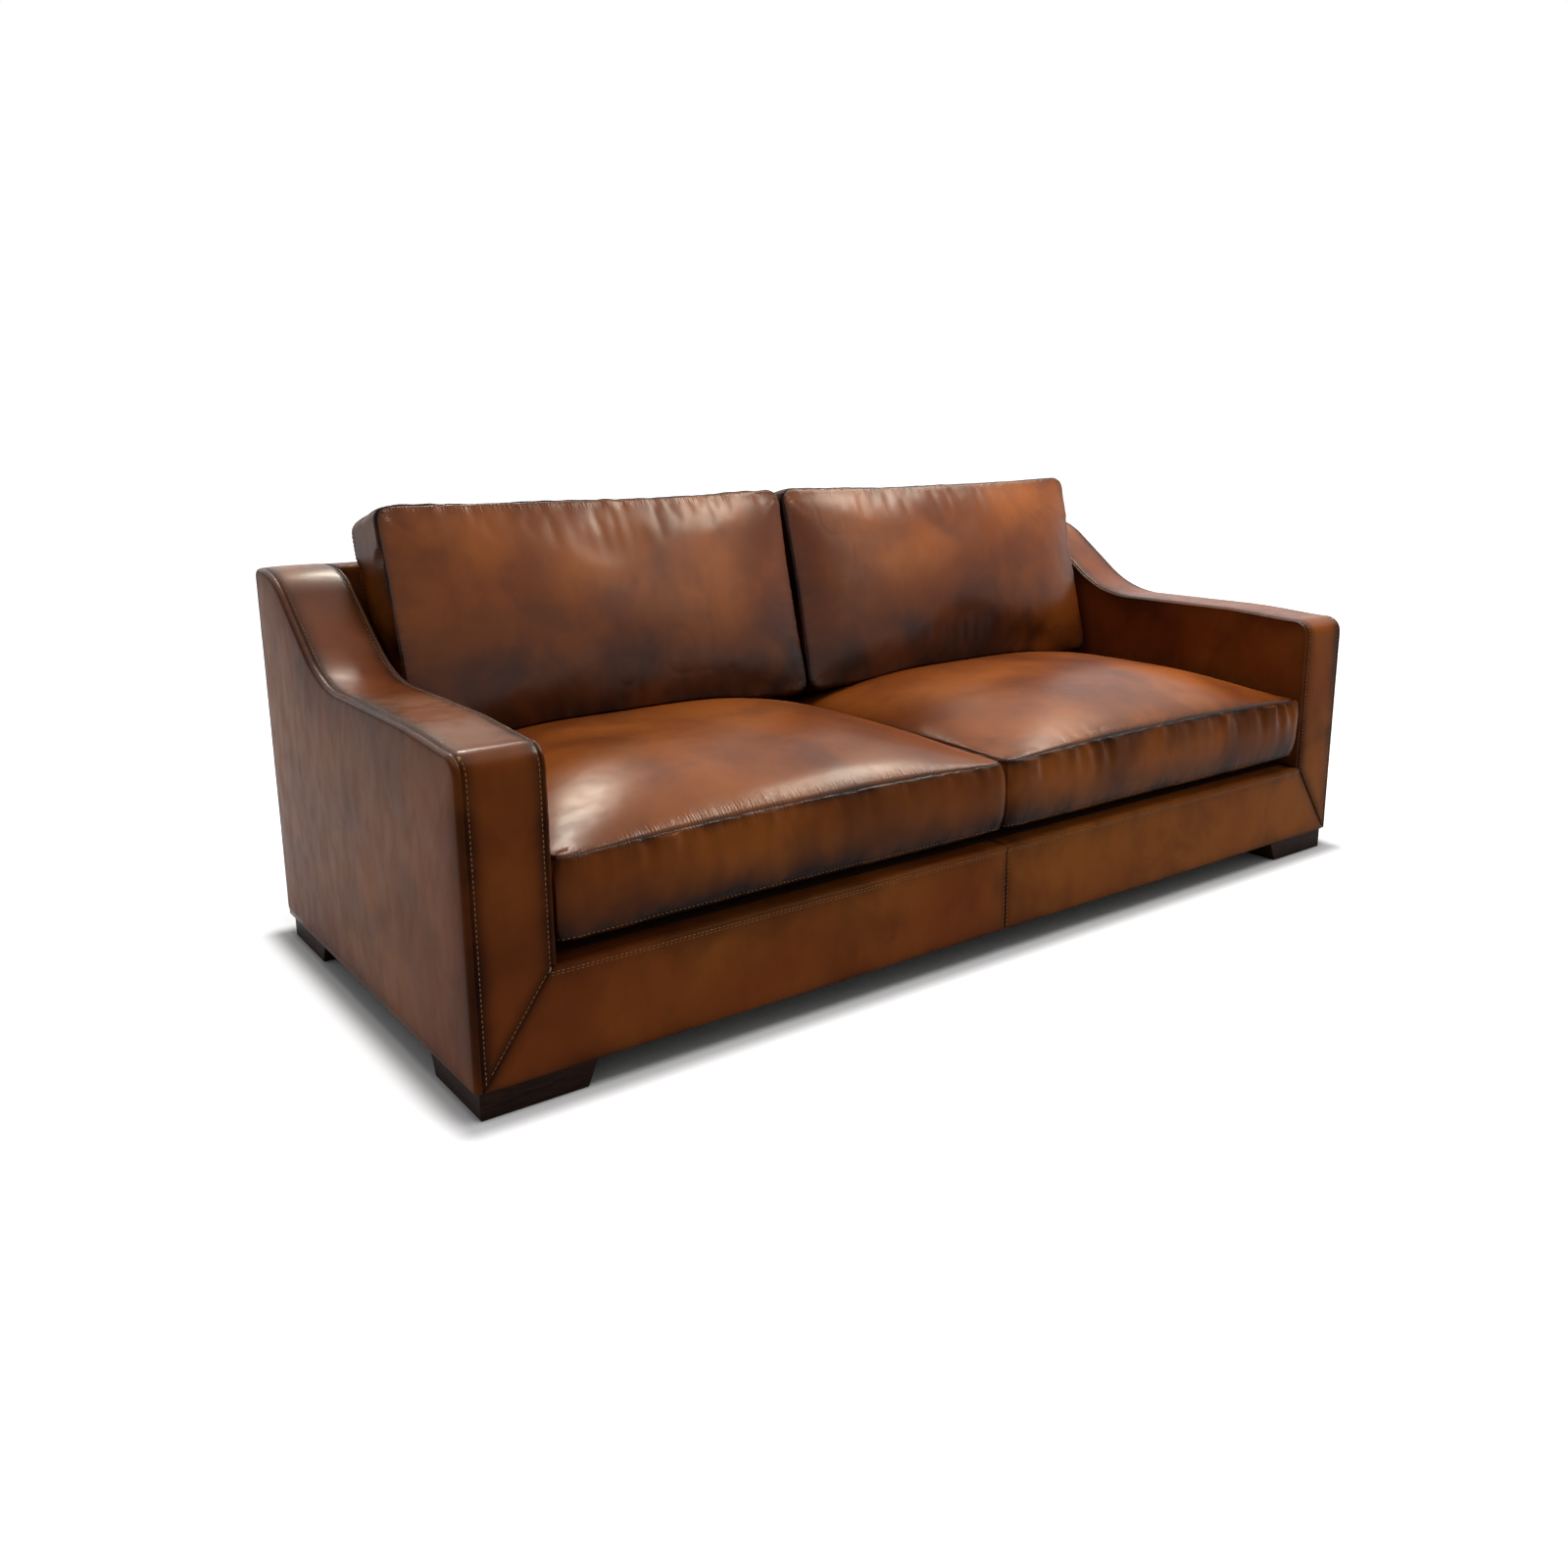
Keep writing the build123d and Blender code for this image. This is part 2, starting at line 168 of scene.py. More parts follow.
def newObject(name, points, faces, **attributes):
    mesh = bpy.data.meshes.new(name)
    mesh.from_pydata(np.asarray(points).tolist(), [], np.asarray(faces).tolist())
    mesh.update()
    for key, values in attributes.items():
        addAttribute(mesh, key, values)
    mesh.polygons.foreach_set("use_smooth", np.ones(len(mesh.polygons), bool))
    piece = bpy.data.objects.new(name, mesh)
    scene.collection.objects.link(piece)
    return piece


def weld(piece, distance=1e-5):
    work = bmesh.new()
    work.from_mesh(piece.data)
    bmesh.ops.remove_doubles(work, verts=work.verts, dist=distance)
    bmesh.ops.dissolve_degenerate(work, edges=work.edges, dist=distance)
    work.to_mesh(piece.data)
    work.free()
    piece.data.update()


def fitOut(piece, material, body, slotName, *nodes):
    piece.data.materials.clear()
    piece.data.materials.append(material)
    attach(piece, body)
    if nodes:
        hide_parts(*nodes)


def mirrorX(points):
    return np.asarray(points) * np.array([-1.0, 1.0, 1.0])


def sided(runs, sign):
    # runs are pairs of line points and their outward normals
    return runs if sign > 0 else [(mirrorX(line), mirrorX(normal)) for line, normal in runs]


sides = (("left", -1), ("right", 1))


# Materials

def newMaterial(name):
    material = bpy.data.materials.new(name)
    material.use_nodes = True
    tree = material.node_tree
    return material, tree, tree.nodes["Principled BSDF"]


def srgb(code):
    parts = [int(code[i:i + 2], 16) / 255 for i in (0, 2, 4)]
    linear = [v / 12.92 if v <= 0.04045 else ((v + 0.055) / 1.055) ** 2.4 for v in parts]
    return (*linear, 1.0)


def addNoise(tree, where, scale, detail=4.0, rough=0.55, bend=0.0, stretch=None):
    source = where
    if stretch:
        mapping = tree.nodes.new("ShaderNodeMapping")
        mapping.inputs["Scale"].default_value = stretch
        tree.links.new(where, mapping.inputs["Vector"])
        source = mapping.outputs["Vector"]
    noise = tree.nodes.new("ShaderNodeTexNoise")
    noise.inputs["Scale"].default_value = scale
    noise.inputs["Detail"].default_value = detail
    noise.inputs["Roughness"].default_value = rough
    noise.inputs["Distortion"].default_value = bend
    tree.links.new(source, noise.inputs["Vector"])
    return noise.outputs["Fac"]


def addRange(tree, value, low, high, toLow=0.0, toHigh=1.0):
    ranged = tree.nodes.new("ShaderNodeMapRange")
    ranged.interpolation_type = "SMOOTHSTEP"
    for key, number in (("From Min", low), ("From Max", high), ("To Min", toLow), ("To Max", toHigh)):
        ranged.inputs[key].default_value = number
    tree.links.new(value, ranged.inputs["Value"])
    return ranged.outputs["Result"]


def addMix(tree, share, first, second):
    # first and second are colours or sockets
    mix = tree.nodes.new("ShaderNodeMix")
    mix.data_type = "RGBA"
    colours = [socket for socket in mix.inputs if socket.type == "RGBA"]
    tree.links.new(share, mix.inputs["Factor"])
    for socket, colour in zip(colours, (first, second)):
        if isinstance(colour, tuple):
            socket.default_value = colour
        else:
            tree.links.new(colour, socket)
    return [socket for socket in mix.outputs if socket.type == "RGBA"][0]


def addMath(tree, kind, first, second):
    step = tree.nodes.new("ShaderNodeMath")
    step.operation = kind
    for socket, value in zip(step.inputs, (first, second)):
        if isinstance(value, (int, float)):
            socket.default_value = value
        else:
            tree.links.new(value, socket)
    return step.outputs["Value"]


def addShade(tree, name):
    # a value kept on the mesh's points
    shade = tree.nodes.new("ShaderNodeAttribute")
    shade.attribute_name = name
    return shade.outputs["Fac"]


def addBump(tree, height, strength, distance, before=None):
    bump = tree.nodes.new("ShaderNodeBump")
    bump.inputs["Strength"].default_value = strength
    bump.inputs["Distance"].default_value = distance
    tree.links.new(height, bump.inputs["Height"])
    if before:
        tree.links.new(before, bump.inputs["Normal"])
    return bump.outputs["Normal"]


# Hand-rubbed leather: mottled, darker along the seams, with fine creases and grain, and painted shade on the
# cushions
cushionTones = {
    "body": "733911",
    "pale": "95521e",
    "deep": "451c0b",
    "burntAndShade": "1e0b05",
    "mottle": 0.48,
    "rub": 0.16,
    "gloss": (0.285, 0.34),
    "level": (0.05, 0.24),
}
coverTones = {
    "body": "743a18",
    "pale": "8a4f20",
    "deep": "482310",
    "burntAndShade": "1f0d07",
    "mottle": 0.48,
    "rub": 0.14,
    "gloss": (0.285, 0.37),
    "level": (0.02, 0.24),
}


leatherSet = {
    "cloud": 2.6, "patch": 6.5, "rubbed": 34.0, "crease": 40.0, "pores": 620.0,    # noise scales
    "pleatAlong": 260.0, "pleatAway": 22.0, "pleatReach": 0.030,
}


def makeLeather(name, tones, gathered=False):
    material, tree, shader = newMaterial(name)
    where = tree.nodes.new("ShaderNodeTexCoord").outputs["Object"]
    cloud = addNoise(tree, where, leatherSet["cloud"], 2, 0.45, 0.3)
    patch = addNoise(tree, where, leatherSet["patch"], 3, 0.5, 0.4)
    rubbed = addNoise(tree, where, leatherSet["rubbed"], 4, 0.55, 0.2, (1, 1, 0.45))
    body, pale, deep, burntAndShade = (srgb(tones[key]) for key in ("body", "pale", "deep", "burntAndShade"))
    colour = addMix(tree, addRange(tree, cloud, 0.36, 0.64), body, pale)
    colour = addMix(tree, addRange(tree, patch, 0.40, 0.72, 0, tones["mottle"]), colour, deep)
    colour = addMix(tree, addRange(tree, rubbed, 0.40, 0.75, 0, tones["rub"]), colour, deep)
    # darker seams and edges, and on the cushions painted shade, come in through one value kept on the mesh
    uneven = addRange(tree, patch, 0.25, 0.75, 0.65, 1.25)
    dark = addMath(tree, "MULTIPLY", addShade(tree, "burnish"), uneven)
    tree.links.new(addMix(tree, dark, colour, burntAndShade), shader.inputs["Base Color"])
    tree.links.new(addRange(tree, rubbed, 0.3, 0.7, *tones["gloss"]), shader.inputs["Roughness"])
    # hands and clothes polish the tops, the sides stay duller
    level = addRange(tree, addShade(tree, "polish"), 0, 1, *tones["level"])
    tree.links.new(level, shader.inputs["Specular IOR Level"])
    crease = addNoise(tree, where, leatherSet["crease"], 2, 0.4, 0.0)
    bump = addBump(tree, crease, 0.06, 0.0020)
    if gathered:
        # fine pleats that run off the seams
        seamAlong, seamAway = (addShade(tree, key) for key in ("seamAlong", "seamAway"))
        pleat = tree.nodes.new("ShaderNodeCombineXYZ")
        for axis, value, key in (("X", seamAlong, "pleatAlong"), ("Y", seamAway, "pleatAway")):
            tree.links.new(addMath(tree, "MULTIPLY", value, leatherSet[key]), pleat.inputs[axis])
        lines = addNoise(tree, pleat.outputs["Vector"], 1.0, 2, 0.5)
        near = addRange(tree, seamAway, 0.0, leatherSet["pleatReach"], 1.0, 0.0)
        bump = addBump(tree, addMath(tree, "MULTIPLY", lines, near), 0.7, 0.0022, bump)
    pores = tree.nodes.new("ShaderNodeTexVoronoi")
    pores.inputs["Scale"].default_value = leatherSet["pores"]
    tree.links.new(where, pores.inputs["Vector"])
    bump = addBump(tree, pores.outputs["Distance"], 0.06, 0.0003, bump)
    tree.links.new(bump, shader.inputs["Normal"])
    return material


def makeGrained(name, light, dark, stretch, rough, scale=14.0, bumpSize=0.0006):
    # wood, cloth and foam: two tones along a stretched noise
    material, tree, shader = newMaterial(name)
    where = tree.nodes.new("ShaderNodeTexCoord").outputs["Object"]
    grain = addNoise(tree, where, scale, 6, 0.62, 0.5, stretch)
    fine = addNoise(tree, where, 12 * scale, 3, 0.5, 0.0, stretch)
    colour = addMix(tree, addRange(tree, grain, 0.35, 0.65), srgb(dark), srgb(light))
    tree.links.new(colour, shader.inputs["Base Color"])
    tree.links.new(addRange(tree, fine, 0.3, 0.7, rough - 0.08, rough + 0.08), shader.inputs["Roughness"])
    shader.inputs["Specular IOR Level"].default_value = 0.05
    tree.links.new(addBump(tree, fine, 0.3, bumpSize), shader.inputs["Normal"])
    return material


def makeMetal(name, light, dark):
    material, tree, shader = newMaterial(name)
    where = tree.nodes.new("ShaderNodeTexCoord").outputs["Object"]
    spots = addNoise(tree, where, 60.0, 5, 0.6)
    colour = addMix(tree, addRange(tree, spots, 0.4, 0.6), srgb(dark), srgb(light))
    tree.links.new(colour, shader.inputs["Base Color"])
    tree.links.new(addRange(tree, spots, 0.3, 0.7, 0.28, 0.45), shader.inputs["Roughness"])
    shader.inputs["Metallic"].default_value = 1.0
    return material


cushionLeather = makeLeather("cushionLeather", cushionTones, gathered=True)
coverLeather = makeLeather("coverLeather", coverTones)
legWood = makeGrained("legWood", "2c1a12", "180c08", (2, 2, 30), 0.45)
frameWood = makeGrained("frameWood", "c9a878", "a57f50", (2, 18, 18), 0.6)
foam = makeGrained("foam", "ece3c8", "d9cda9", (1, 1, 1), 0.9, 60.0)
elasticStrap = makeGrained("elasticStrap", "2c2a28", "171615", (40, 4, 4), 0.8, 20.0)
deckCloth = makeGrained("deckCloth", "4a3527", "35251b", (30, 30, 30), 0.85, 20.0)
dustCloth = makeGrained("dustCloth", "201f1f", "121212", (30, 30, 30), 0.9, 20.0)
springSteel = makeMetal("springSteel", "6e6f72", "3d3e41")
zincSteel = makeMetal("zincSteel", "b9bbbf", "8b8e93")
threadTan = makeGrained("threadTan", "a98257", "7d5a38", (1, 1, 1), 0.7, 300.0)
print("materials made")


# Stitches: one small thread lozenge for each step along a line

stitchSet = {"pitch": 0.0085, "length": 0.0058, "radius": 0.00075}


def stitchMesh(runs):
    # runs are pairs of line points and their outward normals
    pitch, length, radius = (stitchSet[key] for key in ("pitch", "length", "radius"))
    ringAlong = np.array([-0.5, -0.3, 0.3, 0.5]) * length
    ringSize = np.array([0.45, 1.0, 1.0, 0.45]) * radius
    ringSink = np.array([-0.7, 0.35, 0.35, -0.7]) * radius
    allPoints, allFaces, count = [], [], 0
    for line, normals in runs:
        gone = np.concatenate([[0], np.cumsum(np.linalg.norm(np.diff(line, axis=0), axis=1))])
        spots = np.arange(0.5 * pitch, gone[-1], pitch)
        if len(spots) < 2:
            continue
        reach = 0.2 * pitch
        wanted = ((spots, line), (spots + reach, line), (spots - reach, line), (spots, normals))
        middle, ahead, back, out = (np.stack([np.interp(at, gone, values[:, k]) for k in range(3)], axis=1)
                                    for at, values in wanted)
        along = ahead - back
        along /= np.maximum(np.linalg.norm(along, axis=1, keepdims=True), 1e-9)
        side = np.cross(along, out)
        side /= np.maximum(np.linalg.norm(side, axis=1, keepdims=True), 1e-9)
        out = np.cross(side, along)
        for shift, size, sink in zip(ringAlong, ringSize, ringSink):
            centre = middle + shift * along + sink * out
            for across, lift in ((size, 0), (0, size), (-size, 0), (0, -size)):
                allPoints.append(centre + across * side + lift * out)
        total = len(spots)
        ring = np.arange(total)
        # point k of ring r of stitch i sits at count + (4 r + k) total + i
        for r in range(3):
            for k in range(4):
                corners = [(r, k), (r, (k + 1) % 4), (r + 1, (k + 1) % 4), (r + 1, k)]
                allFaces.append(np.stack([count + (4 * a + b) * total + ring for a, b in corners], axis=1))
        for r, order in ((0, (3, 2, 1, 0)), (3, (0, 1, 2, 3))):
            allFaces.append(np.stack([count + (4 * r + k) * total + ring for k in order], axis=1))
        count += 16 * total
    return np.concatenate(allPoints), np.concatenate(allFaces)


def addStitches(name, runs, body, slotName):
    points, faces = stitchMesh(runs)
    piece = newObject(name, points, faces)
    fitOut(piece, threadTan, body, slotName)
    return piece


# Arms: outer panel, boxing strip over the front and top, inner panel

armSet = {
    "outer": 1.120, "inner": 0.975, "front": -0.490, "rear": 0.489, "foot": 0.050, "railTop": 0.224,
    "frontHeight": 0.586, "rearHeight": 0.771,
    "swoopStart": 0.040, "swoopEnd": 0.455, "fullness": 0.9, "hollowShare": 0.58,
    "frontRound": 0.036, "rearRound": 0.008, "droop": 0.010,
    "outerSeam": 0.0125, "innerSeam": 0.008, "outerRoll": 0.0095, "innerRoll": 0.006,
    "step": 0.004, "groove": 0.0026, "pucker": 0.0007, "stitchOff": 0.0050,
    # rows of the side panels, as shares of the way down, and of the boxing, in from its seams
    "falls": (0.008, 0.02, 0.04, 0.07, 0.11, 0.16, 0.22, 0.29, 0.37, 0.46, 0.55, 0.64, 0.73, 0.81, 0.88, 0.94,
              0.98, 1),
    "rows": (0, 0.0008, 0.0016, 0.0026, 0.0038, 0.005, 0.0065, 0.009, 0.013, 0.019), "rowStep": 0.008,
}


def armPath():
    # stations of the side profile: depth, height, outward normal, share of the front's height
    a = armSet
    run, rise = a["swoopEnd"] - a["swoopStart"], a["rearHeight"] - a["frontHeight"]
    radii = a["fullness"] * (run**2 + rise**2) / (2 * rise)
    slope = math.asin(radii / math.hypot(run, radii - rise)) - math.atan2(radii - rise, run)
    hollow, crest = a["hollowShare"] * radii, (1 - a["hollowShare"]) * radii
    stations = []
    frontTop = a["frontHeight"] - a["frontRound"]
    count = round((frontTop - a["foot"]) / a["step"])
    for i in range(count):
        stations.append((a["front"], a["foot"] + (frontTop - a["foot"]) * i / count, -1, 0, i / count))

    def arc(y, z, radius, start, end, hollowSide=False):
        steps = max(4, round(abs(end - start) * radius / a["step"]))
        for i in range(steps):
            turn = start + (end - start) * i / steps
            ny, nz = math.sin(turn), math.cos(turn)
            flip = -1 if hollowSide else 1
            stations.append((y + flip * radius * ny, z + flip * radius * nz, ny, nz, 1))

    def straight(y0, z0, y1, z1, ny, nz):
        steps = max(1, round(math.hypot(y1 - y0, z1 - z0) / a["step"]))
        for i in range(steps):
            stations.append((y0 + (y1 - y0) * i / steps, z0 + (z1 - z0) * i / steps, ny, nz, 1))

    cornerY = a["front"] + a["frontRound"]
    arc(cornerY, frontTop, a["frontRound"], -math.pi / 2, 0)
    straight(cornerY, a["frontHeight"], a["swoopStart"], a["frontHeight"], 0, 1)
    arc(a["swoopStart"], a["frontHeight"] + hollow, hollow, 0, -slope, True)
    sine, drop = math.sin(slope), 1 - math.cos(slope)
    hollowEnd = (a["swoopStart"] + hollow * sine, a["frontHeight"] + hollow * drop)
    crestStart = (a["swoopEnd"] - crest * sine, a["rearHeight"] - crest * drop)
    straight(*hollowEnd, *crestStart, -sine, math.cos(slope))
    arc(a["swoopEnd"], a["rearHeight"] - crest, crest, -slope, 0)
    rearTop = a["rear"] - a["rearRound"]
    straight(a["swoopEnd"], a["rearHeight"], rearTop, a["rearHeight"], 0, 1)
    arc(rearTop, a["rearHeight"] - a["rearRound"], a["rearRound"], 0, math.pi / 2)
    stations.append((a["rear"], a["rearHeight"] - a["rearRound"], 1, 0, 1))
    path = np.array(stations)
    path[:, 1] -= a["droop"] * smoothStep(0.24, 0.47, -path[:, 0]) * path[:, 4] ** 8
    return path


def makeArm(sideName, sign):
    a = armSet
    path = armPath()
    depth, height, normalY, normalZ, frontShare = path.T
    gone = np.concatenate([[0], np.cumsum(np.hypot(np.diff(depth), np.diff(height)))])
    share = gone / gone[-1]
    frontTop = a["frontHeight"] - a["frontRound"] - a["droop"]
    seamX = (a["outer"] - a["outerSeam"], a["inner"] + a["innerSeam"])
    onFront = frontShare < 1

    def column(x, sink, nx, foot, lift):
        # one line along the whole profile: x, depth below the profile, sideways share of the normal
        base = np.stack([np.full(len(path), x), depth - sink * normalY, height - sink * normalZ], axis=1)
        base[onFront, 2] = foot + (frontTop - foot) * frontShare[onFront]
        nn = math.sqrt(max(0, 1 - nx * nx))
        normal = np.stack([np.full(len(path), nx), nn * normalY, nn * normalZ], axis=1)
        return base + normal * np.asarray(lift)[..., None], normal

    def ripple(seed, away):
        fine = lineNoise(gone, 95, seed) * (0.4 + 0.6 * np.abs(lineNoise(gone, 9, seed + 7)))
        return a["pucker"] * fine * fade(away, 0.011)

    def seamDip(away):
        return -a["groove"] * ridge(away, 0.0022) - 0.0004 * ridge(away - 0.005, 0.0014)

    def footAt(x):
        # the boxing's lower end follows the mitre seam
        t = np.clip((seamX[0] - x) / (seamX[0] - seamX[1]), 0, 1)
        return a["foot"] + t * (a["railTop"] - a["foot"])

    def panelLines(outward, face, roll, seam, foot, seed):
        # from the seam over the rolled edge to the side's face
        lines, burns = [], []
        flat = abs(seam - face) - roll
        for away in (0, 0.0008, 0.0016, 0.0026):
            if away < flat:
                lines.append(column(seam + outward * away, 0, 0, foot, seamDip(away) + ripple(seed, away)))
                burns.append(fade(away, 0.006))
        for i in range(9):
            turn = i / 8 * math.pi / 2
            away = flat + roll * turn
            x = face - outward * roll * (1 - math.sin(turn))
            sink = roll * (1 - math.cos(turn))
            lines.append(column(x, sink, outward * math.sin(turn), foot, seamDip(away) + ripple(seed, away)))
            burns.append(0.6 + 0.4 * fade(away, 0.012))
        return lines, burns

    def sidePanel(outward, face, roll, seam, foot, seed, bulge, turnUnder):
        lines, burns = panelLines(outward, face, roll, seam, foot, seed)
        edge = lines[-1][0]
        floorY = a["front"] + roll + (a["rear"] - a["front"] - roll) * share
        target = np.stack([np.full(len(path), face), floorY, np.full(len(path), foot)], axis=1)
        reach = np.linalg.norm(target - edge, axis=1)
        for fall in a["falls"]:
            base = edge + (target - edge) * fall
            fromTop, fromFoot = reach * fall, np.maximum(base[:, 2] - foot, 0)
            fromRear = np.maximum(a["rear"] - base[:, 1], 0)
            full = (1 - fade(fromTop, 0.05)) * (1 - fade(fromFoot, 0.05)) * (1 - fade(fromRear, 0.03))
            waves = 0.0013 * softNoise(base, 5, seed) + 0.0005 * softNoise(base, 17, seed + 1)
            base[:, 0] += outward * ((bulge + waves) * full - 0.004 * ridge(fromRear, 0.004))
            lines.append((base, None))
            burns.append(0.6 * fade(fromTop, 0.045))
        if turnUnder:
            under = lines[-1][0] - np.array([outward * 0.012, 0, 0])
            lines.append((under, None))
            burns.append(1)
        grid = np.stack([line for line, _ in lines])
        fromEdge = np.minimum(np.abs(grid[:, :, 2] - foot), np.abs(a["rear"] - grid[:, :, 1]))
        burn = np.stack([np.broadcast_to(line, len(path)) for line in burns]) * 0.8
        return grid, np.maximum(burn, 0.7 * fade(fromEdge, 0.012))

    def finishPanel(name, grid, burn, flip, *nodes):
        points = grid.reshape(-1, 3)
        faces = gridFaces(*grid.shape[:2], flip=flip != (sign < 0))
        polish = smoothStep(0.35, 0.85, np.abs(gridNormals(grid)[:, :, 2]))
        piece = newObject(name, points if sign > 0 else mirrorX(points), faces, burnish=burn.ravel(),
                          polish=polish.ravel())
        weld(piece)
        fitOut(piece, coverLeather, "sofa_frame", "cover_leather", *nodes)
        return piece

    outerGrid, outerBurn = sidePanel(1, a["outer"], a["outerRoll"], seamX[0], a["foot"], 3, 0.003, True)
    finishPanel(f"{sideName}ArmOuterPanel", outerGrid, outerBurn, True, f"{sideName}_arm_outer_panel")
    innerGrid, innerBurn = sidePanel(-1, a["inner"], a["innerRoll"], seamX[1], a["railTop"], 5, 0.0015, False)
    finishPanel(f"{sideName}ArmInnerPanel", innerGrid, innerBurn, False, f"{sideName}_arm_inner_panel")

    width = seamX[0] - seamX[1]
    lines, burns, normals = [], [], []
    for away in nearEnds(width, a["rowStep"], a["rows"]):
        x = seamX[0] - away
        edge = min(away, width - away)
        seed = 3 if away < width / 2 else 5
        crown = 0.0022 * (1 - fade(edge, 0.012))
        base, normal = column(x, 0, 0, footAt(x), 0)
        waves = 0.0009 * softNoise(base, 9, 11) * (1 - fade(edge, 0.02))
        mitre = np.where(onFront, np.abs(base[:, 2] - footAt(x)) * 0.58, 1.0)
        dip = seamDip(edge) - a["groove"] * ridge(mitre, 0.0022)
        lift = crown + dip + waves + ripple(seed, edge)
        lines.append(base + normal * np.asarray(lift)[:, None])
        normals.append(normal)
        burns.append(np.maximum(ridge(edge, 0.019), ridge(mitre, 0.016)))
    grid = np.stack(lines)
    finishPanel(f"{sideName}ArmBoxing", grid, np.stack(burns) * 0.85, False,
                f"{sideName}_arm_boxing", f"{sideName}_arm_padding")

    runs = []
    offs = np.array([abs(seamX[0] - line[0, 0]) for line in lines])
    for off in (a["stitchOff"], width - a["stitchOff"]):
        i = int(np.argmin(np.abs(offs - off)))
        runs.append((grid[i][1:-3], normals[i][1:-3]))
    # along the mitre, on the arm's side of the seam
    front = np.stack([grid[i][2] for i in range(8, len(lines) - 8)])
    front[:, 2] = np.array([footAt(x) for x in front[:, 0]]) + a["stitchOff"] / 0.58
    front[:, 1] = grid[12:-12, 6, 1].mean()
    runs.append((front, np.tile([0.0, -1.0, 0.0], (len(front), 1))))
    addStitches(f"{sideName}ArmStitches", sided(runs, sign), "sofa_frame", "cover_leather")


for sideName, sign in sides:
    makeArm(sideName, sign)
print("arms made")


# Front rail covers: two sheets joined at the middle, mitred to the arms, turned over the rail's top

railSet = {
    "front": -0.490, "foot": 0.050, "top": 0.224, "lip": 0.045, "round": 0.006,
    "cornerX": 1.1075, "mitreX": 0.983, "step": 0.008, "groove": 0.0015, "topStitch": 0.009,
    "edgeStitch": 0.0025, "middleStitch": 0.0042, "turnUnder": 0.010,
    "lipRows": (0, 0.008, 0.016, 0.024, 0.030, 0.034, 0.037),
}


def makeRailCover(sideName, sign):
    r = railSet
    fine = (0, 0.0008, 0.0016, 0.0026, 0.0042, 0.007, 0.011, 0.017)
    across = nearEnds(r["mitreX"], r["step"], fine) / r["mitreX"]
    # rows are depth, height and the outward normal's two shares
    rows = [(r["front"] + r["lip"] - d, r["top"], 0.0, 1.0) for d in r["lipRows"]]
    for i in range(7):
        turn = i / 6 * math.pi / 2
        ny, nz = math.sin(turn), math.cos(turn)
        rows.append((r["front"] + r["round"] * (1 - ny), r["top"] - r["round"] * (1 - nz), ny, nz))
    for z in np.linspace(r["top"] - r["round"] - 0.002, r["foot"], 30):
        rows.append((r["front"], z, 1.0, 0.0))
    rows.append((r["front"] + r["turnUnder"], r["foot"], 0.0, -1.0))
    lines, burns = [], []
    seed = 21 if sign > 0 else 31
    for y, z, ny, nz in rows:
        slant = np.clip((r["top"] - z) / (r["top"] - r["foot"]), 0, 1)
        edgeX = r["mitreX"] + slant * (r["cornerX"] - r["mitreX"])
        x = across * edgeX
        base = np.stack([x, np.full(len(x), y), np.full(len(x), z)], axis=1)
        fromMitre, fromMiddle = (edgeX - x) * 0.81, x
        fromTop = abs(y - r["front"]) + r["top"] - z
        dip = -r["groove"] * (ridge(fromMitre, 0.0022) + ridge(fromMiddle, 0.0022))
        stitchLine = -0.0012 * ridge(fromTop - r["topStitch"] - 0.006, 0.002)
        stitchLine += 0.0024 * ridge(fromTop - 0.006, 0.006)
        waves = 0.0016 * softNoise(base * np.array([1, 1, 1.6]), 5, seed)
        waves += 0.0005 * softNoise(base, 22, seed + 2)
        waves += 0.0008 * lineNoise(x, 60, seed + 3) * fade(abs(fromTop - 0.014), 0.012)
        inside = (1 - fade(fromMitre, 0.02)) * (1 - fade(fromMiddle, 0.02))
        lift = dip + stitchLine + (0.0015 + waves) * inside * (ny if ny > 0 else 0.2)
        base[:, 1] -= ny * lift
        base[:, 2] += np.maximum(nz, 0) * np.minimum(lift, 0.0004)
        lines.append(base)
        nearTop = 0.55 * fade(fromTop, 0.02) + 0.6 * fade(z - r["foot"], 0.012)
        nearSeam = 0.85 * np.maximum(fade(fromMitre, 0.012), fade(fromMiddle, 0.008))
        burns.append(np.maximum(nearSeam, nearTop))
    grid = np.stack(lines)
    points = grid.reshape(-1, 3)
    piece = newObject(f"{sideName}RailCover", points if sign > 0 else mirrorX(points),
                      gridFaces(*grid.shape[:2], flip=sign < 0), burnish=np.stack(burns).ravel())
    fitOut(piece, coverLeather, "sofa_frame", "cover_leather", f"{sideName}_front_rail_cover")
    normals = gridNormals(grid)
    if normals[20, 20, 1] > 0:
        normals = -normals
    runs = []
    for off in (r["topStitch"], r["edgeStitch"]):
        # the row of the front face nearest to this far below the turn
        i = int(np.argmin([abs(r["top"] - r["round"] - row[1] - off) + (1 - row[2]) for row in rows]))
        runs.append((grid[i][3:-3], normals[i][3:-3]))
    middle = int(np.argmin(np.abs(across * r["mitreX"] - r["middleStitch"])))
    runs.append((grid[14:-1, middle], normals[14:-1, middle]))
    addStitches(f"{sideName}RailStitches", sided(runs, sign), "sofa_frame", "cover_leather")


for sideName, sign in sides:
    makeRailCover(sideName, sign)
print("front rail covers made")


# Fixed back: leaning inner panel that turns over the top, flat outer panel behind

backSet = {
    "half": 0.9805, "rear": 0.489, "behind": 0.490, "topDepth": 0.080, "top": 0.771, "foot": 0.224,
    "lean": 14.0, "round": 0.020, "rearRound": 0.007, "step": 0.015,
    "outerHalf": 1.120, "outerFoot": 0.050, "outerCorner": 0.014, "outerY": 0.4905, "seamStitch": 0.007,
}


def backFace(z):
    b = backSet
    return b["behind"] - b["topDepth"] - (b["top"] - z) * math.tan(math.radians(b["lean"]))


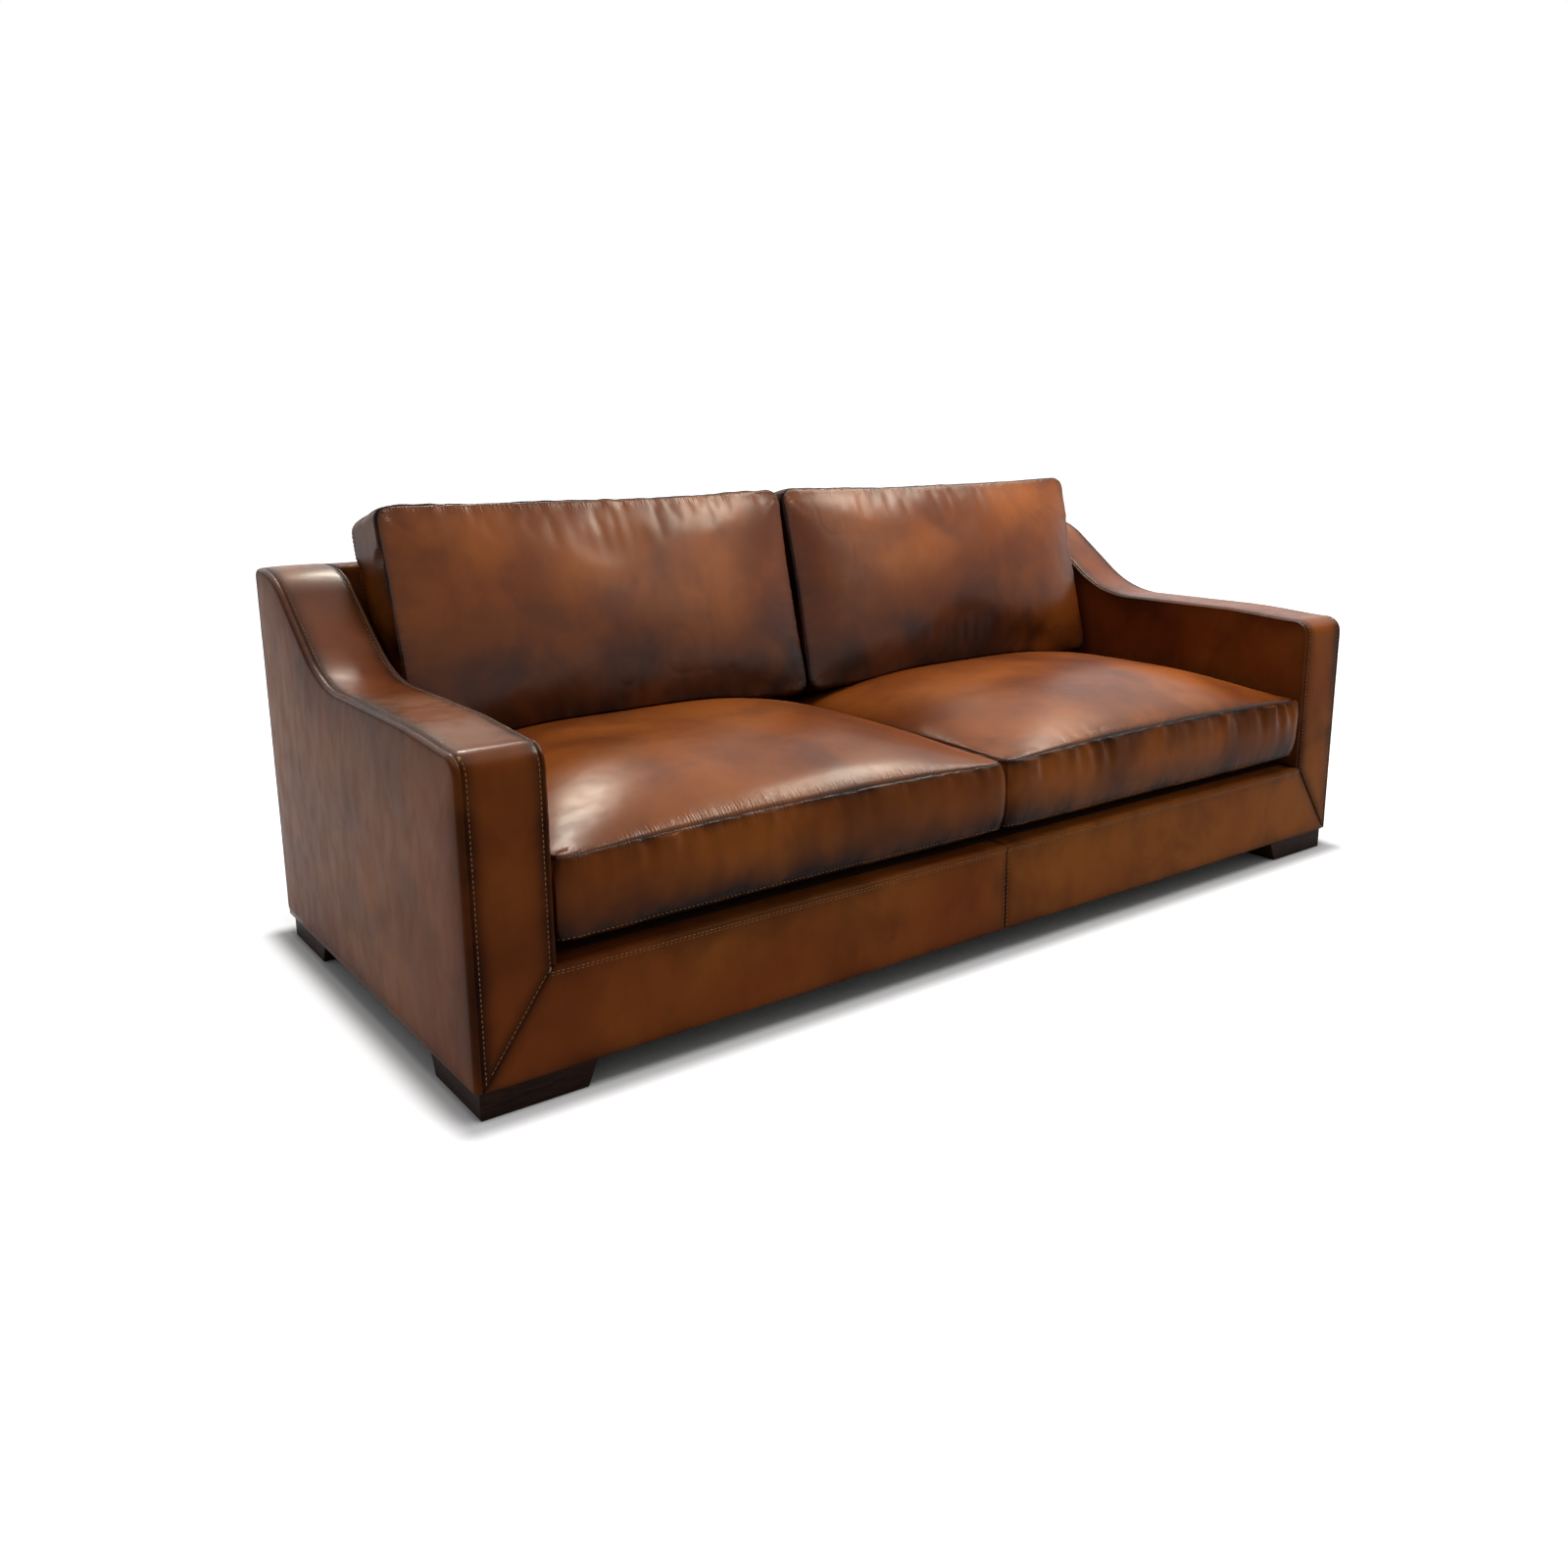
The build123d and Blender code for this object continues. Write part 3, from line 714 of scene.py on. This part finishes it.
def makeInnerBack():
    b = backSet
    lean = math.radians(b["lean"])
    startTurn = -math.pi / 2 + lean
    # the round's centre lies a radius below the top and behind the leaning face
    centreZ = b["top"] - b["round"]
    centreY = backFace(centreZ) + b["round"] / math.cos(lean)
    heights = np.linspace(b["foot"], centreZ + b["round"] * math.sin(lean), 30)[:-1]
    profile = [(backFace(z), z) for z in heights]
    for i in range(9):
        turn = startTurn + (0 - startTurn) * i / 8
        profile.append((centreY + b["round"] * math.sin(turn), centreZ + b["round"] * math.cos(turn)))
    rearTop = b["rear"] - b["rearRound"]
    profile += [(y, b["top"]) for y in np.linspace(centreY, rearTop, 6)[1:-1]]
    for i in range(5):
        turn = i / 4 * math.pi / 2
        profile.append((rearTop + b["rearRound"] * math.sin(turn),
                        b["top"] - b["rearRound"] * (1 - math.cos(turn))))
    across = np.linspace(-b["half"], b["half"], round(2 * b["half"] / b["step"]) + 1)
    grid = np.array([[(x, y, z) for x in across] for y, z in profile])
    points = grid.reshape(-1, 3)
    lift = 0.0008 * softNoise(points, 6, 41) + 0.0004
    points[:, 1] -= lift
    fromEdge = np.minimum(b["rear"] - points[:, 1], b["half"] - np.abs(points[:, 0]))
    burn = 0.8 * fade(np.maximum(fromEdge, 0), 0.012)
    piece = newObject("innerBackPanel", points, gridFaces(*grid.shape[:2]), burnish=burn)
    fitOut(piece, coverLeather, "sofa_frame", "cover_leather", "back_inner_panel")


def roundCorner(x, y, halfX, halfY, corner):
    # pulls a rectangle's grid in to rounded corners
    dx, dy = np.abs(x) - (halfX - corner), np.abs(y) - (halfY - corner)
    both = (dx > 0) & (dy > 0)
    scale = np.where(both, np.maximum(dx, dy) / np.maximum(np.hypot(dx, dy), 1e-9), 1)
    newX = np.where(both, np.sign(x) * (halfX - corner + dx * scale), x)
    newY = np.where(both, np.sign(y) * (halfY - corner + dy * scale), y)
    return newX, newY


def makeOuterBack():
    b = backSet
    halfZ, middleZ = (b["top"] - b["outerFoot"]) / 2, (b["top"] + b["outerFoot"]) / 2
    fine = (0, 0.0012, 0.0026, 0.0042, 0.007, 0.011, 0.018, 0.028)
    xs = nearEnds(2 * b["outerHalf"], 0.016, fine) - b["outerHalf"]
    seamFine = np.array([0.0008, 0.0018, 0.003, 0.005, 0.008])
    xs = np.sort(np.concatenate([xs[np.abs(xs) > 0.010], seamFine, -seamFine, [0]]))
    zs = nearEnds(2 * halfZ, 0.016, fine) - halfZ
    gx, gz = np.meshgrid(xs, zs)
    edge = np.minimum(b["outerHalf"] - np.abs(gx), halfZ - np.abs(gz)).ravel()
    x, z = roundCorner(gx.ravel(), gz.ravel(), b["outerHalf"], halfZ, b["outerCorner"])
    points = np.stack([x, np.full(len(x), b["outerY"]), z + middleZ], axis=1)
    turned = np.clip(1 - edge / 0.005, 0, 1)
    full = 1 - fade(edge, 0.06)
    lift = 0.004 * full - 0.0045 * (1 - np.sqrt(1 - 0.98 * turned**2))
    lift += (0.0016 * softNoise(points, 4, 51) + 0.0006 * softNoise(points, 15, 52)) * full
    lift -= 0.0022 * ridge(x, 0.002) + 0.0006 * ridge(edge - b["seamStitch"], 0.002)
    lift += 0.0006 * lineNoise(x + z, 70, 53) * fade(edge, 0.012)
    points[:, 1] += lift
    burn = np.maximum(0.85 * fade(edge, 0.014), 0.8 * fade(np.abs(x), 0.008))
    piece = newObject("outerBackPanel", points, gridFaces(len(zs), len(xs), flip=True), burnish=burn)
    fitOut(piece, coverLeather, "sofa_frame", "cover_leather", "back_outer_panel")
    grid = points.reshape(len(zs), len(xs), 3)
    inset = 4
    behind = np.array([0.0, 1.0, 0.0])
    loop = [grid[inset:-inset, inset], grid[-inset - 1, inset:-inset], grid[inset:-inset, -inset - 1][::-1]]
    middle = [int(np.argmin(np.abs(xs - off))) for off in (-0.005, 0.005)]
    loop += [grid[inset:-inset, i] for i in middle]
    runs = [(line, np.tile(behind, (len(line), 1))) for line in loop]
    addStitches("outerBackStitches", runs, "sofa_frame", "cover_leather")


makeInnerBack()
makeOuterBack()
print("back made")


# Loose cushions: crowned boxes with gathered seams, blown up as cloth

clothSet = {"frames": 14, "pressure": 3.0, "cap": 0.016}
seatSet = {
    "inner": 0.0025, "outer": 0.968, "front": -0.483, "rear": 0.280, "low": 0.256, "high": 0.392,
    "crown": 0.088, "crownShape": 3.0, "belly": 0.0296, "bellyShape": 7.0, "bow": 0.008,
    "corner": 0.030, "pull": 0.005, "boxBulge": 0.015, "step": 0.0105, "stitchLow": 0.006,
    "spare": 0.003,
}
backCushionSet = {
    "inner": 0.0025, "outer": 0.950, "low": 0.0178, "high": 0.1713,
    "crown": 0.042, "crownShape": 3.6, "belly": 0.0168, "bellyShape": 7.0, "bow": 0.0,
    "corner": 0.034, "pull": 0.007, "boxBulge": 0.005, "step": 0.0105, "stitchLow": 0.006,
    "spare": -0.002,
}


def cushionMesh(c, sizeX, sizeY):
    # local frame: x across, y along, z from the lower to the upper panel, the middle of the plan at 0
    halfX, halfY, box = sizeX / 2, sizeY / 2, c["high"] - c["low"]
    fine = (0, 0.0025, 0.006, 0.012)
    xs, ys = (nearEnds(2 * half, c["step"], fine) - half for half in (halfX, halfY))
    gx, gy = (grid.ravel() for grid in np.meshgrid(xs, ys))
    px, py = roundCorner(gx, gy, halfX, halfY, c["corner"])
    dx, dy = halfX - np.abs(gx), halfY - np.abs(gy)
    u, v = px / halfX, py / halfY
    along = np.where(dx < dy, np.where(gx > 0, gy, -gy), np.where(gy < 0, gx, -gx) + 3.0)
    px = px - c["pull"] * np.sign(px) * np.abs(u) ** 3 * (1 - v**2)
    py = py - c["pull"] * np.sign(py) * np.abs(v) ** 3 * (1 - u**2)

    def dome(power):
        return np.clip((1 - np.abs(u) ** power) * (1 - np.abs(v) ** power), 0, 1) ** 0.8

    bow = c["bow"] * (1 - u**2) * np.abs(v) ** 4
    top = np.stack([px, py, box + bow + c["crown"] * dome(c["crownShape"])], axis=1)
    low = np.stack([px, py, -c["belly"] * dome(c["bellyShape"])], axis=1)
    edge = np.minimum(dx, dy)
    nx, ny = len(xs), len(ys)
    rim = list(range(nx)) + [nx * i - 1 for i in range(2, ny + 1)]
    rim += [nx * (ny - 1) + i for i in range(nx - 2, -1, -1)] + [nx * i for i in range(ny - 2, 0, -1)]
    rim = np.array(rim)
    rows = nearEnds(box, c["step"], fine)[1:-1]
    points, edges, alongs = [top, low], [edge, edge], [along, along]
    zones = [np.zeros(nx * ny), np.full(nx * ny, 2.0)]    # 0 upper panel, 1 boxing, 2 lower panel
    out = np.stack([u[rim] * np.abs(u[rim]) ** 3 / halfX, v[rim] * np.abs(v[rim]) ** 3 / halfY], axis=1)
    out /= np.linalg.norm(out, axis=1, keepdims=True)
    for down in rows:
        share = down / box
        ring = top[rim] * (1 - share) + low[rim] * share
        ring[:, :2] += out * c["boxBulge"] * (1 - abs(1 - 2 * share) ** 3.5)
        points.append(ring)
        edges.append(np.full(len(rim), min(down, box - down)))
        alongs.append(along[rim])
        zones.append(np.ones(len(rim)))
    count = nx * ny
    levels = [2 * count + len(rim) * i + np.arange(len(rim)) for i in range(len(rows))]
    levels = [rim, *levels, count + rim]
    faces = [gridFaces(ny, nx), gridFaces(ny, nx, flip=True) + count]
    for upper, lower in zip(levels[:-1], levels[1:]):
        faces.append(np.stack([upper, lower, np.roll(lower, -1), np.roll(upper, -1)], axis=1))
    info = {"seamDist": np.concatenate(edges), "along": np.concatenate(alongs), "zone": np.concatenate(zones)}
    return np.concatenate(points), np.concatenate(faces), info, levels


def blowUp(piece, seamWeights, spare):
    # cloth under pressure, held at the seams; returns the swollen points
    group = piece.vertex_groups.new(name="seam")
    for weight in np.unique(np.round(seamWeights, 1)):
        chosen = np.nonzero(np.round(seamWeights, 1) == weight)[0]
        group.add(chosen.tolist(), float(weight), "REPLACE")
    cloth = piece.modifiers.new("swell", "CLOTH")
    settings = cloth.settings
    settings.quality = 5
    settings.mass = 0.4
    settings.tension_stiffness = 25
    settings.compression_stiffness = 25
    settings.shear_stiffness = 12
    settings.bending_stiffness = 1.5
    settings.use_pressure = True
    settings.uniform_pressure_force = clothSet["pressure"]
    settings.effector_weights.gravity = 0
    settings.vertex_group_mass = "seam"
    settings.pin_stiffness = 1.0
    settings.shrink_min = spare
    cloth.collision_settings.use_collision = False
    cloth.point_cache.frame_start = 1
    cloth.point_cache.frame_end = clothSet["frames"]
    for number in range(1, clothSet["frames"] + 1):
        scene.frame_set(number)
    shown = piece.evaluated_get(bpy.context.evaluated_depsgraph_get())
    swollen = readPoints(shown.data)
    piece.modifiers.remove(cloth)
    piece.vertex_groups.clear()
    scene.frame_set(1)
    return swollen


def subdivide(piece):
    step = piece.modifiers.new("finer", "SUBSURF")
    step.levels = 1
    step.render_levels = 1
    shown = piece.evaluated_get(bpy.context.evaluated_depsgraph_get())
    finer = bpy.data.meshes.new_from_object(shown)
    piece.modifiers.clear()
    old = piece.data
    piece.data = finer
    bpy.data.meshes.remove(old)


def makeCushion(name, c, sizeX, sizeY, place, limits, wrinkles, shade):
    points, faces, info, levels = cushionMesh(c, sizeX, sizeY)
    piece = newObject(name, points, faces, **info)
    weights = np.clip(1.15 - info["seamDist"] / 0.012, 0, 1)
    swollen = blowUp(piece, weights, c["spare"])
    move = swollen - points
    far = np.linalg.norm(move, axis=1, keepdims=True)
    points = points + move * np.minimum(1, clothSet["cap"] / np.maximum(far, 1e-9))
    writePoints(piece.data, points)
    coarse = points
    subdivide(piece)
    points = readPoints(piece.data)
    normals = readNormals(piece.data)
    seamDist, along, zone = (readAttribute(piece.data, key) for key in ("seamDist", "along", "zone"))
    onBox = zone * (2 - zone)
    lift = wrinkles(points, seamDist, along, onBox, zone)
    lift = lift - 0.0026 * ridge(seamDist, 0.0022)
    points = points + normals * lift[:, None]
    points = limits(points)
    writePoints(piece.data, points)
    # darker seams together with painted shade, kept on the points for the leather
    burn = shade(points, seamDist, zone)
    addAttribute(piece.data, "burnish", np.clip(burn, 0, 1))
    for key in ("seamDist", "along", "zone"):
        piece.data.attributes.remove(piece.data.attributes[key])
    addAttribute(piece.data, "polish", np.clip(1 - zone, 0, 1))
    addAttribute(piece.data, "seamAway", seamDist)
    addAttribute(piece.data, "seamAlong", along)
    piece.data.transform(place)
    piece.data.update()
    piece.data.polygons.foreach_set("use_smooth", np.ones(len(piece.data.polygons), bool))
    return piece, coarse, levels


def surfaceTree(piece):
    mesh = piece.data
    return BVHTree.FromPolygons([v.co[:] for v in mesh.vertices], [p.vertices[:] for p in mesh.polygons])


def seamStitches(piece, coarse, levels, place, which, off):
    # a stitch line beside one seam, laid on the finished surface
    first, second = (levels[-1], levels[-2]) if which == "low" else (levels[0], levels[1])
    for further in (levels[-3], levels[-4]) if which == "low" else (levels[2], levels[3]):
        gap = np.linalg.norm(coarse[further] - coarse[first], axis=1).mean()
        if gap >= off:
            second = further
            break
    start, end = coarse[first], coarse[second]
    gap = np.linalg.norm(end - start, axis=1, keepdims=True)
    line = start + (end - start) * np.minimum(1, off / gap)
    line = np.concatenate([line, line[:1]])
    surface = surfaceTree(piece)
    found = [surface.find_nearest(place @ Vector(point)) for point in line]
    return np.array([hit[0] for hit in found]), np.array([hit[1] for hit in found])


# heights of the folds: gathers at the seam, longer pleats, swells, ripples and creases
seatFolds = {"gather": 0.0030, "longer": 0.0280, "swell": 0.0018, "ripple": 0.0004, "crease": 0.0002}


def seatWrinkles(seed):
    f = seatFolds

    def wrinkles(points, seamDist, along, onBox, zone):
        gather = lineNoise(along, 80, seed) * (0.35 + 0.65 * np.abs(lineNoise(along, 7, seed + 1)))
        longer = lineNoise(along, 46, seed + 2) * np.clip(lineNoise(along, 9, seed + 3) + 0.35, 0.15, 0.8)
        onTop = zone < 0.5
        offSeam = smoothStep(0, 0.010, seamDist)
        lift = f["gather"] * gather * fade(seamDist, 0.014) * np.where(onBox > 0.5, 1, 0.25)
        upper = smoothStep(0.03, 0.10, points[:, 2])
        lift += f["longer"] * longer * fade(seamDist, 0.026) * np.where(onTop, 0.05, upper) * offSeam
        lift += f["swell"] * softNoise(points, 4.5, seed + 4) + f["ripple"] * softNoise(points, 15, seed + 5)
        fold = softNoise(points * np.array([1, 1.6, 1]), 13, seed + 6)
        mask = smoothStep(0.15, 0.5, softNoise(points, 5, seed + 7))
        lift -= f["crease"] * ridge(fold, 0.07) * mask
        return lift
    return wrinkles


def seatShade(halfY):
    def shade(points, seamDist, zone):
        burn = 0.8 * fade(seamDist, 0.0035) + 0.30 * fade(seamDist, 0.03)
        # painted shade low on the boxing and over the underside
        lower = smoothStep(0.09, 0.0, points[:, 2]) * np.where(zone > 0.5, 1, 0)
        # painted shade towards the rear, where the back cushion leans over the seat
        crease = smoothStep(0.55, 0.95, points[:, 1] / halfY)
        # the boxing is painted darker all over, as painted shade
        return burn + 0.45 * lower + 0.6 * crease + 0.30 * zone * (2 - zone)
    return shade


seats = {}


def makeSeat(sideName, sign):
    c = seatSet
    sizeX, sizeY = c["outer"] - c["inner"], c["rear"] - c["front"]
    middleX = sign * (c["outer"] + c["inner"]) / 2
    place = Matrix.Translation((middleX, (c["front"] + c["rear"]) / 2, c["low"]))
    floor = -c["belly"] - 0.0004
    halfX, halfY = sizeX / 2, sizeY / 2

    def limits(points):
        points[:, 2] = np.maximum(points[:, 2], floor)
        points[:, 0] = np.clip(points[:, 0], -halfX - 0.0015, halfX + 0.0015)
        points[:, 1] = np.clip(points[:, 1], -halfY - 0.018, halfY)
        return points

    seed = 60 if sign < 0 else 80
    body = f"{sideName}_seat_cushion"
    piece, coarse, levels = makeCushion(f"{sideName}SeatCushion", c, sizeX, sizeY, place, limits,
                                        seatWrinkles(seed), seatShade(halfY))
    fitOut(piece, cushionLeather, body, "cushion_leather", *(f"{body}_{part}" for part in
           ("core", "top_panel", "boxing", "bottom_panel")))
    line = seamStitches(piece, coarse, levels, place, "low", c["stitchLow"])
    addStitches(f"{sideName}SeatStitches", [line], body, "cushion_leather")
    seats[sideName] = surfaceTree(piece)


for sideName, sign in sides:
    makeSeat(sideName, sign)
    print(sideName, "seat cushion made")


backPlace = {"seamFoot": 0.436, "seamTop": 0.895, "gap": 0.0025}


backFolds = {"gather": 0.0022, "longer": 0.0042, "swell": 0.0022, "ripple": 0.0005, "crease": 0.0006}


def backWrinkles(seed, halfY):
    f = backFolds

    def wrinkles(points, seamDist, along, onBox, zone):
        gather = lineNoise(along, 80, seed) * (0.35 + 0.65 * np.abs(lineNoise(along, 7, seed + 1)))
        longer = lineNoise(along, 36, seed + 2) * np.clip(lineNoise(along, 6, seed + 3) + 0.5, 0, 1)
        nearTop = smoothStep(-0.2, 0.6, points[:, 1] / halfY)
        lift = f["gather"] * gather * fade(seamDist, 0.014)
        offSeam = smoothStep(0, 0.008, seamDist)
        lift += f["longer"] * longer * fade(seamDist, 0.030) * (0.4 + 0.6 * nearTop) * offSeam
        lift += f["swell"] * softNoise(points, 4.5, seed + 4) + f["ripple"] * softNoise(points, 14, seed + 5)
        fold = softNoise(points * np.array([1.5, 1, 1]), 10, seed + 6)
        mask = smoothStep(0.1, 0.5, softNoise(points, 4, seed + 7))
        lift -= f["crease"] * ridge(fold, 0.08) * mask
        return lift
    return wrinkles


def backShade(halfY):
    def shade(points, seamDist, zone):
        burn = 0.7 * fade(seamDist, 0.0030) + 0.25 * fade(seamDist, 0.03)
        # painted shade towards the lower end, down by the seat
        lower = smoothStep(0.35, -0.75, points[:, 1] / halfY)
        # the boxing is painted darker all over, as painted shade
        return burn + 0.74 * lower + 0.5 * zone * (2 - zone)
    return shade


def makeBackCushion(sideName, sign):
    c = backCushionSet
    b = backSet
    lean = math.radians(b["lean"])
    low, high = ((backPlace[key] - b["foot"] - c["high"] * math.sin(lean)) / math.cos(lean)
                 for key in ("seamFoot", "seamTop"))
    sizeX, sizeY = c["outer"] - c["inner"], high - low
    middleX = sign * (c["outer"] + c["inner"]) / 2
    sine, cosine = math.sin(lean), math.cos(lean)
    tilt = Matrix(((1, 0, 0), (0, sine, -cosine), (0, cosine, sine))).to_4x4()
    frameOrigin = Matrix.Translation((middleX, backFace(b["foot"]), b["foot"]))
    place = frameOrigin @ tilt @ Matrix.Translation((0, (low + high) / 2, c["low"]))
    behind = -c["belly"] - 0.0004
    halfX, halfY = sizeX / 2, sizeY / 2
    tree = seats[sideName]
    inverse = place.inverted()

    def limits(points):
        points[:, 2] = np.maximum(points[:, 2], behind)
        points[:, 0] = np.clip(points[:, 0], -halfX - 0.0015, halfX + 0.004)
        for i in np.nonzero(points[:, 1] < -halfY + 0.09)[0]:
            spot = place @ Vector(points[i])
            hit = tree.ray_cast(Vector((spot.x, spot.y, 1.0)), Vector((0, 0, -1)))[0]
            if hit and spot.z < hit.z + backPlace["gap"]:
                spot.z = hit.z + backPlace["gap"]
                points[i] = inverse @ spot
        return points

    seed = 100 if sign < 0 else 120
    body = f"{sideName}_back_cushion"
    piece, coarse, levels = makeCushion(f"{sideName}BackCushion", c, sizeX, sizeY, place, limits,
                                        backWrinkles(seed, halfY), backShade(halfY))
    fitOut(piece, cushionLeather, body, "cushion_leather", *(f"{body}_{part}" for part in
           ("core", "front_panel", "boxing", "rear_panel")))
    lines = [seamStitches(piece, coarse, levels, place, "low", c["stitchLow"])]
    addStitches(f"{sideName}BackStitches", lines, body, "cushion_leather")


for sideName, sign in sides:
    makeBackCushion(sideName, sign)
    print(sideName, "back cushion made")


# Wooden block legs with eased edges

legSet = {"ease": 0.0025, "taper": 0.011, "segments": 3}


def makeLeg(node):
    low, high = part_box(node)
    signX, signY = (1 if (low[k] + high[k]) > 0 else -1 for k in (0, 1))
    # the outer corner stays upright, the inner faces taper
    outerX = high[0] if signX > 0 else low[0]
    outerY = high[1] if signY > 0 else low[1]
    head = high[0] - low[0]
    foot = head - 2 * legSet["taper"]
    work = bmesh.new()
    rings = []
    for z, size in ((low[2], foot), (high[2], head)):
        innerX, innerY = outerX - signX * size, outerY - signY * size
        ring = [(outerX, outerY), (innerX, outerY), (innerX, innerY), (outerX, innerY)]
        rings.append([work.verts.new((x, y, z)) for x, y in ring])
    work.faces.new(rings[0])
    work.faces.new(rings[1])
    for i in range(4):
        work.faces.new((rings[0][i], rings[0][(i + 1) % 4], rings[1][(i + 1) % 4], rings[1][i]))
    bmesh.ops.recalc_face_normals(work, faces=work.faces)
    bmesh.ops.bevel(work, geom=list(work.edges), offset=legSet["ease"], segments=legSet["segments"],
                    profile=0.5, affect="EDGES")
    name = "".join(word.capitalize() for word in node.split("_"))
    mesh = bpy.data.meshes.new(name)
    work.to_mesh(mesh)
    work.free()
    piece = bpy.data.objects.new(name, mesh)
    scene.collection.objects.link(piece)
    fitOut(piece, legWood, "sofa_frame", "leg_wood", node)


for end in ("front", "rear"):
    for sideName in ("left", "right"):
        makeLeg(f"{end}_{sideName}_leg")
print("legs made")


# Finishes for the inner pieces that stay as they are

innerFinish = {
    "padding": foam, "deck_pad": foam, "springs": springSteel, "clips": zincSteel, "bolts": zincSteel,
    "nuts": zincSteel, "straps": elasticStrap, "deck_cover": deckCloth, "dust_cover": dustCloth,
    "cushion": cushionLeather, "panel": coverLeather, "boxing": coverLeather, "cover": coverLeather,
    "leg": legWood,
}
for node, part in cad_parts.items():
    finish = next((material for word, material in innerFinish.items() if word in node), frameWood)
    part.data.materials.clear()
    part.data.materials.append(finish)
print("inner pieces finished")


# Floor, lamps and background

stageSet = {
    "floorSize": 60.0, "floorHeight": -0.0005, "floorColour": (0.88, 0.88, 0.88), "ambient": 0.26,
    # the floor's glow is held off over the sofa's footprint and grows outward from it, a painted contact
    # shadow
    "paintedShadowHalf": (1.125, 0.495),
    "glowClose": 0.72, "closeEnd": 0.06, "glowFar": 0.34, "farEnd": 0.7,    # metres out from the sofa
}
lampSet = {
    "strip": {"place": (1.8, -0.3, 3.1), "aim": (0.0, 0.0, 0.4), "size": (2.20, 0.60), "power": 110},
    "leftStrip": {"place": (-2.6, -0.3, 3.1), "aim": (-0.6, 0.0, 0.4), "size": (0.8, 0.35), "power": 8},
    "rear": {"place": (0.1, 2.4, 2.9), "aim": (-0.6, 0.1, 0.6), "size": (0.60, 0.35), "power": 28},
    "front": {"place": (1.9, -2.7, 2.4), "aim": (0.0, 0.0, 0.5), "size": (1.6, 1.4), "power": 17},
    "floorLamp": {"place": (-0.2, -1.2, 5.0), "aim": (0.0, -0.6, 0.0), "size": (3.0, 3.0), "power": 130},
}
lampColour = (1.0, 0.91, 0.76)


def addSeen(tree):
    # 1 where the camera, gloss or glass looks, so that all of them see the same white
    path = tree.nodes.new("ShaderNodeLightPath")
    seen = addMath(tree, "MAXIMUM", path.outputs["Is Camera Ray"], path.outputs["Is Glossy Ray"])
    return addMath(tree, "MAXIMUM", seen, path.outputs["Is Transmission Ray"])


def makeStage():
    half = stageSet["floorSize"] / 2
    corners = ((-half, -half), (half, -half), (half, half), (-half, half))
    floor = newObject("floor", [(x, y, stageSet["floorHeight"]) for x, y in corners], [[0, 1, 2, 3]])
    material, tree, shader = newMaterial("floorPaint")
    shader.inputs["Base Color"].default_value = (*stageSet["floorColour"], 1)
    shader.inputs["Roughness"].default_value = 0.9
    shader.inputs["Specular IOR Level"].default_value = 0.0
    shader.inputs["Emission Color"].default_value = (1, 1, 1, 1)
    seen = addSeen(tree)
    # painted shadow: the glow is zero over the sofa's footprint and rises with the distance out from it
    split = tree.nodes.new("ShaderNodeSeparateXYZ")
    tree.links.new(tree.nodes.new("ShaderNodeTexCoord").outputs["Object"], split.inputs["Vector"])
    spot = tree.nodes.new("ShaderNodeCombineXYZ")
    for axis, reach in zip("XY", stageSet["paintedShadowHalf"]):
        out = addMath(tree, "SUBTRACT", addMath(tree, "ABSOLUTE", split.outputs[axis], 0), reach)
        tree.links.new(addMath(tree, "MAXIMUM", out, 0), spot.inputs[axis])
    length = tree.nodes.new("ShaderNodeVectorMath")
    length.operation = "LENGTH"
    tree.links.new(spot.outputs["Vector"], length.inputs[0])
    away = length.outputs["Value"]
    close = addRange(tree, away, 0, stageSet["closeEnd"], 0, stageSet["glowClose"])
    wide = addRange(tree, away, stageSet["closeEnd"], stageSet["farEnd"], 0, stageSet["glowFar"])
    glow = addMath(tree, "ADD", close, wide)
    tree.links.new(addMath(tree, "MULTIPLY", seen, glow), shader.inputs["Emission Strength"])
    floor.data.materials.append(material)
    onlyFloor, allButFloor = (bpy.data.collections.new(name) for name in ("onlyFloor", "allButFloor"))
    for group, state in ((onlyFloor, "INCLUDE"), (allButFloor, "EXCLUDE")):
        group.objects.link(floor)
        group.collection_objects[0].light_linking.link_state = state
    world = bpy.data.worlds.new("studio")
    scene.world = world
    world.use_nodes = True
    tree = world.node_tree
    background = tree.nodes["Background"]
    background.inputs["Color"].default_value = (1, 1, 1, 1)
    seen = addSeen(tree)
    tree.links.new(addRange(tree, seen, 0, 1, stageSet["ambient"], 1.0), background.inputs["Strength"])
    for name, lamp in lampSet.items():
        data = bpy.data.lights.new(name, "AREA")
        data.shape = "RECTANGLE"
        data.size, data.size_y = lamp["size"]
        data.energy = lamp["power"]
        data.color = lampColour if name != "floorLamp" else (1, 1, 1)
        light = bpy.data.objects.new(name, data)
        light.location = lamp["place"]
        aim = Vector(lamp["aim"]) - Vector(lamp["place"])
        light.rotation_euler = aim.to_track_quat("-Z", "Y").to_euler()
        light.light_linking.receiver_collection = onlyFloor if name == "floorLamp" else allButFloor
        scene.collection.objects.link(light)


makeStage()
print("stage set")
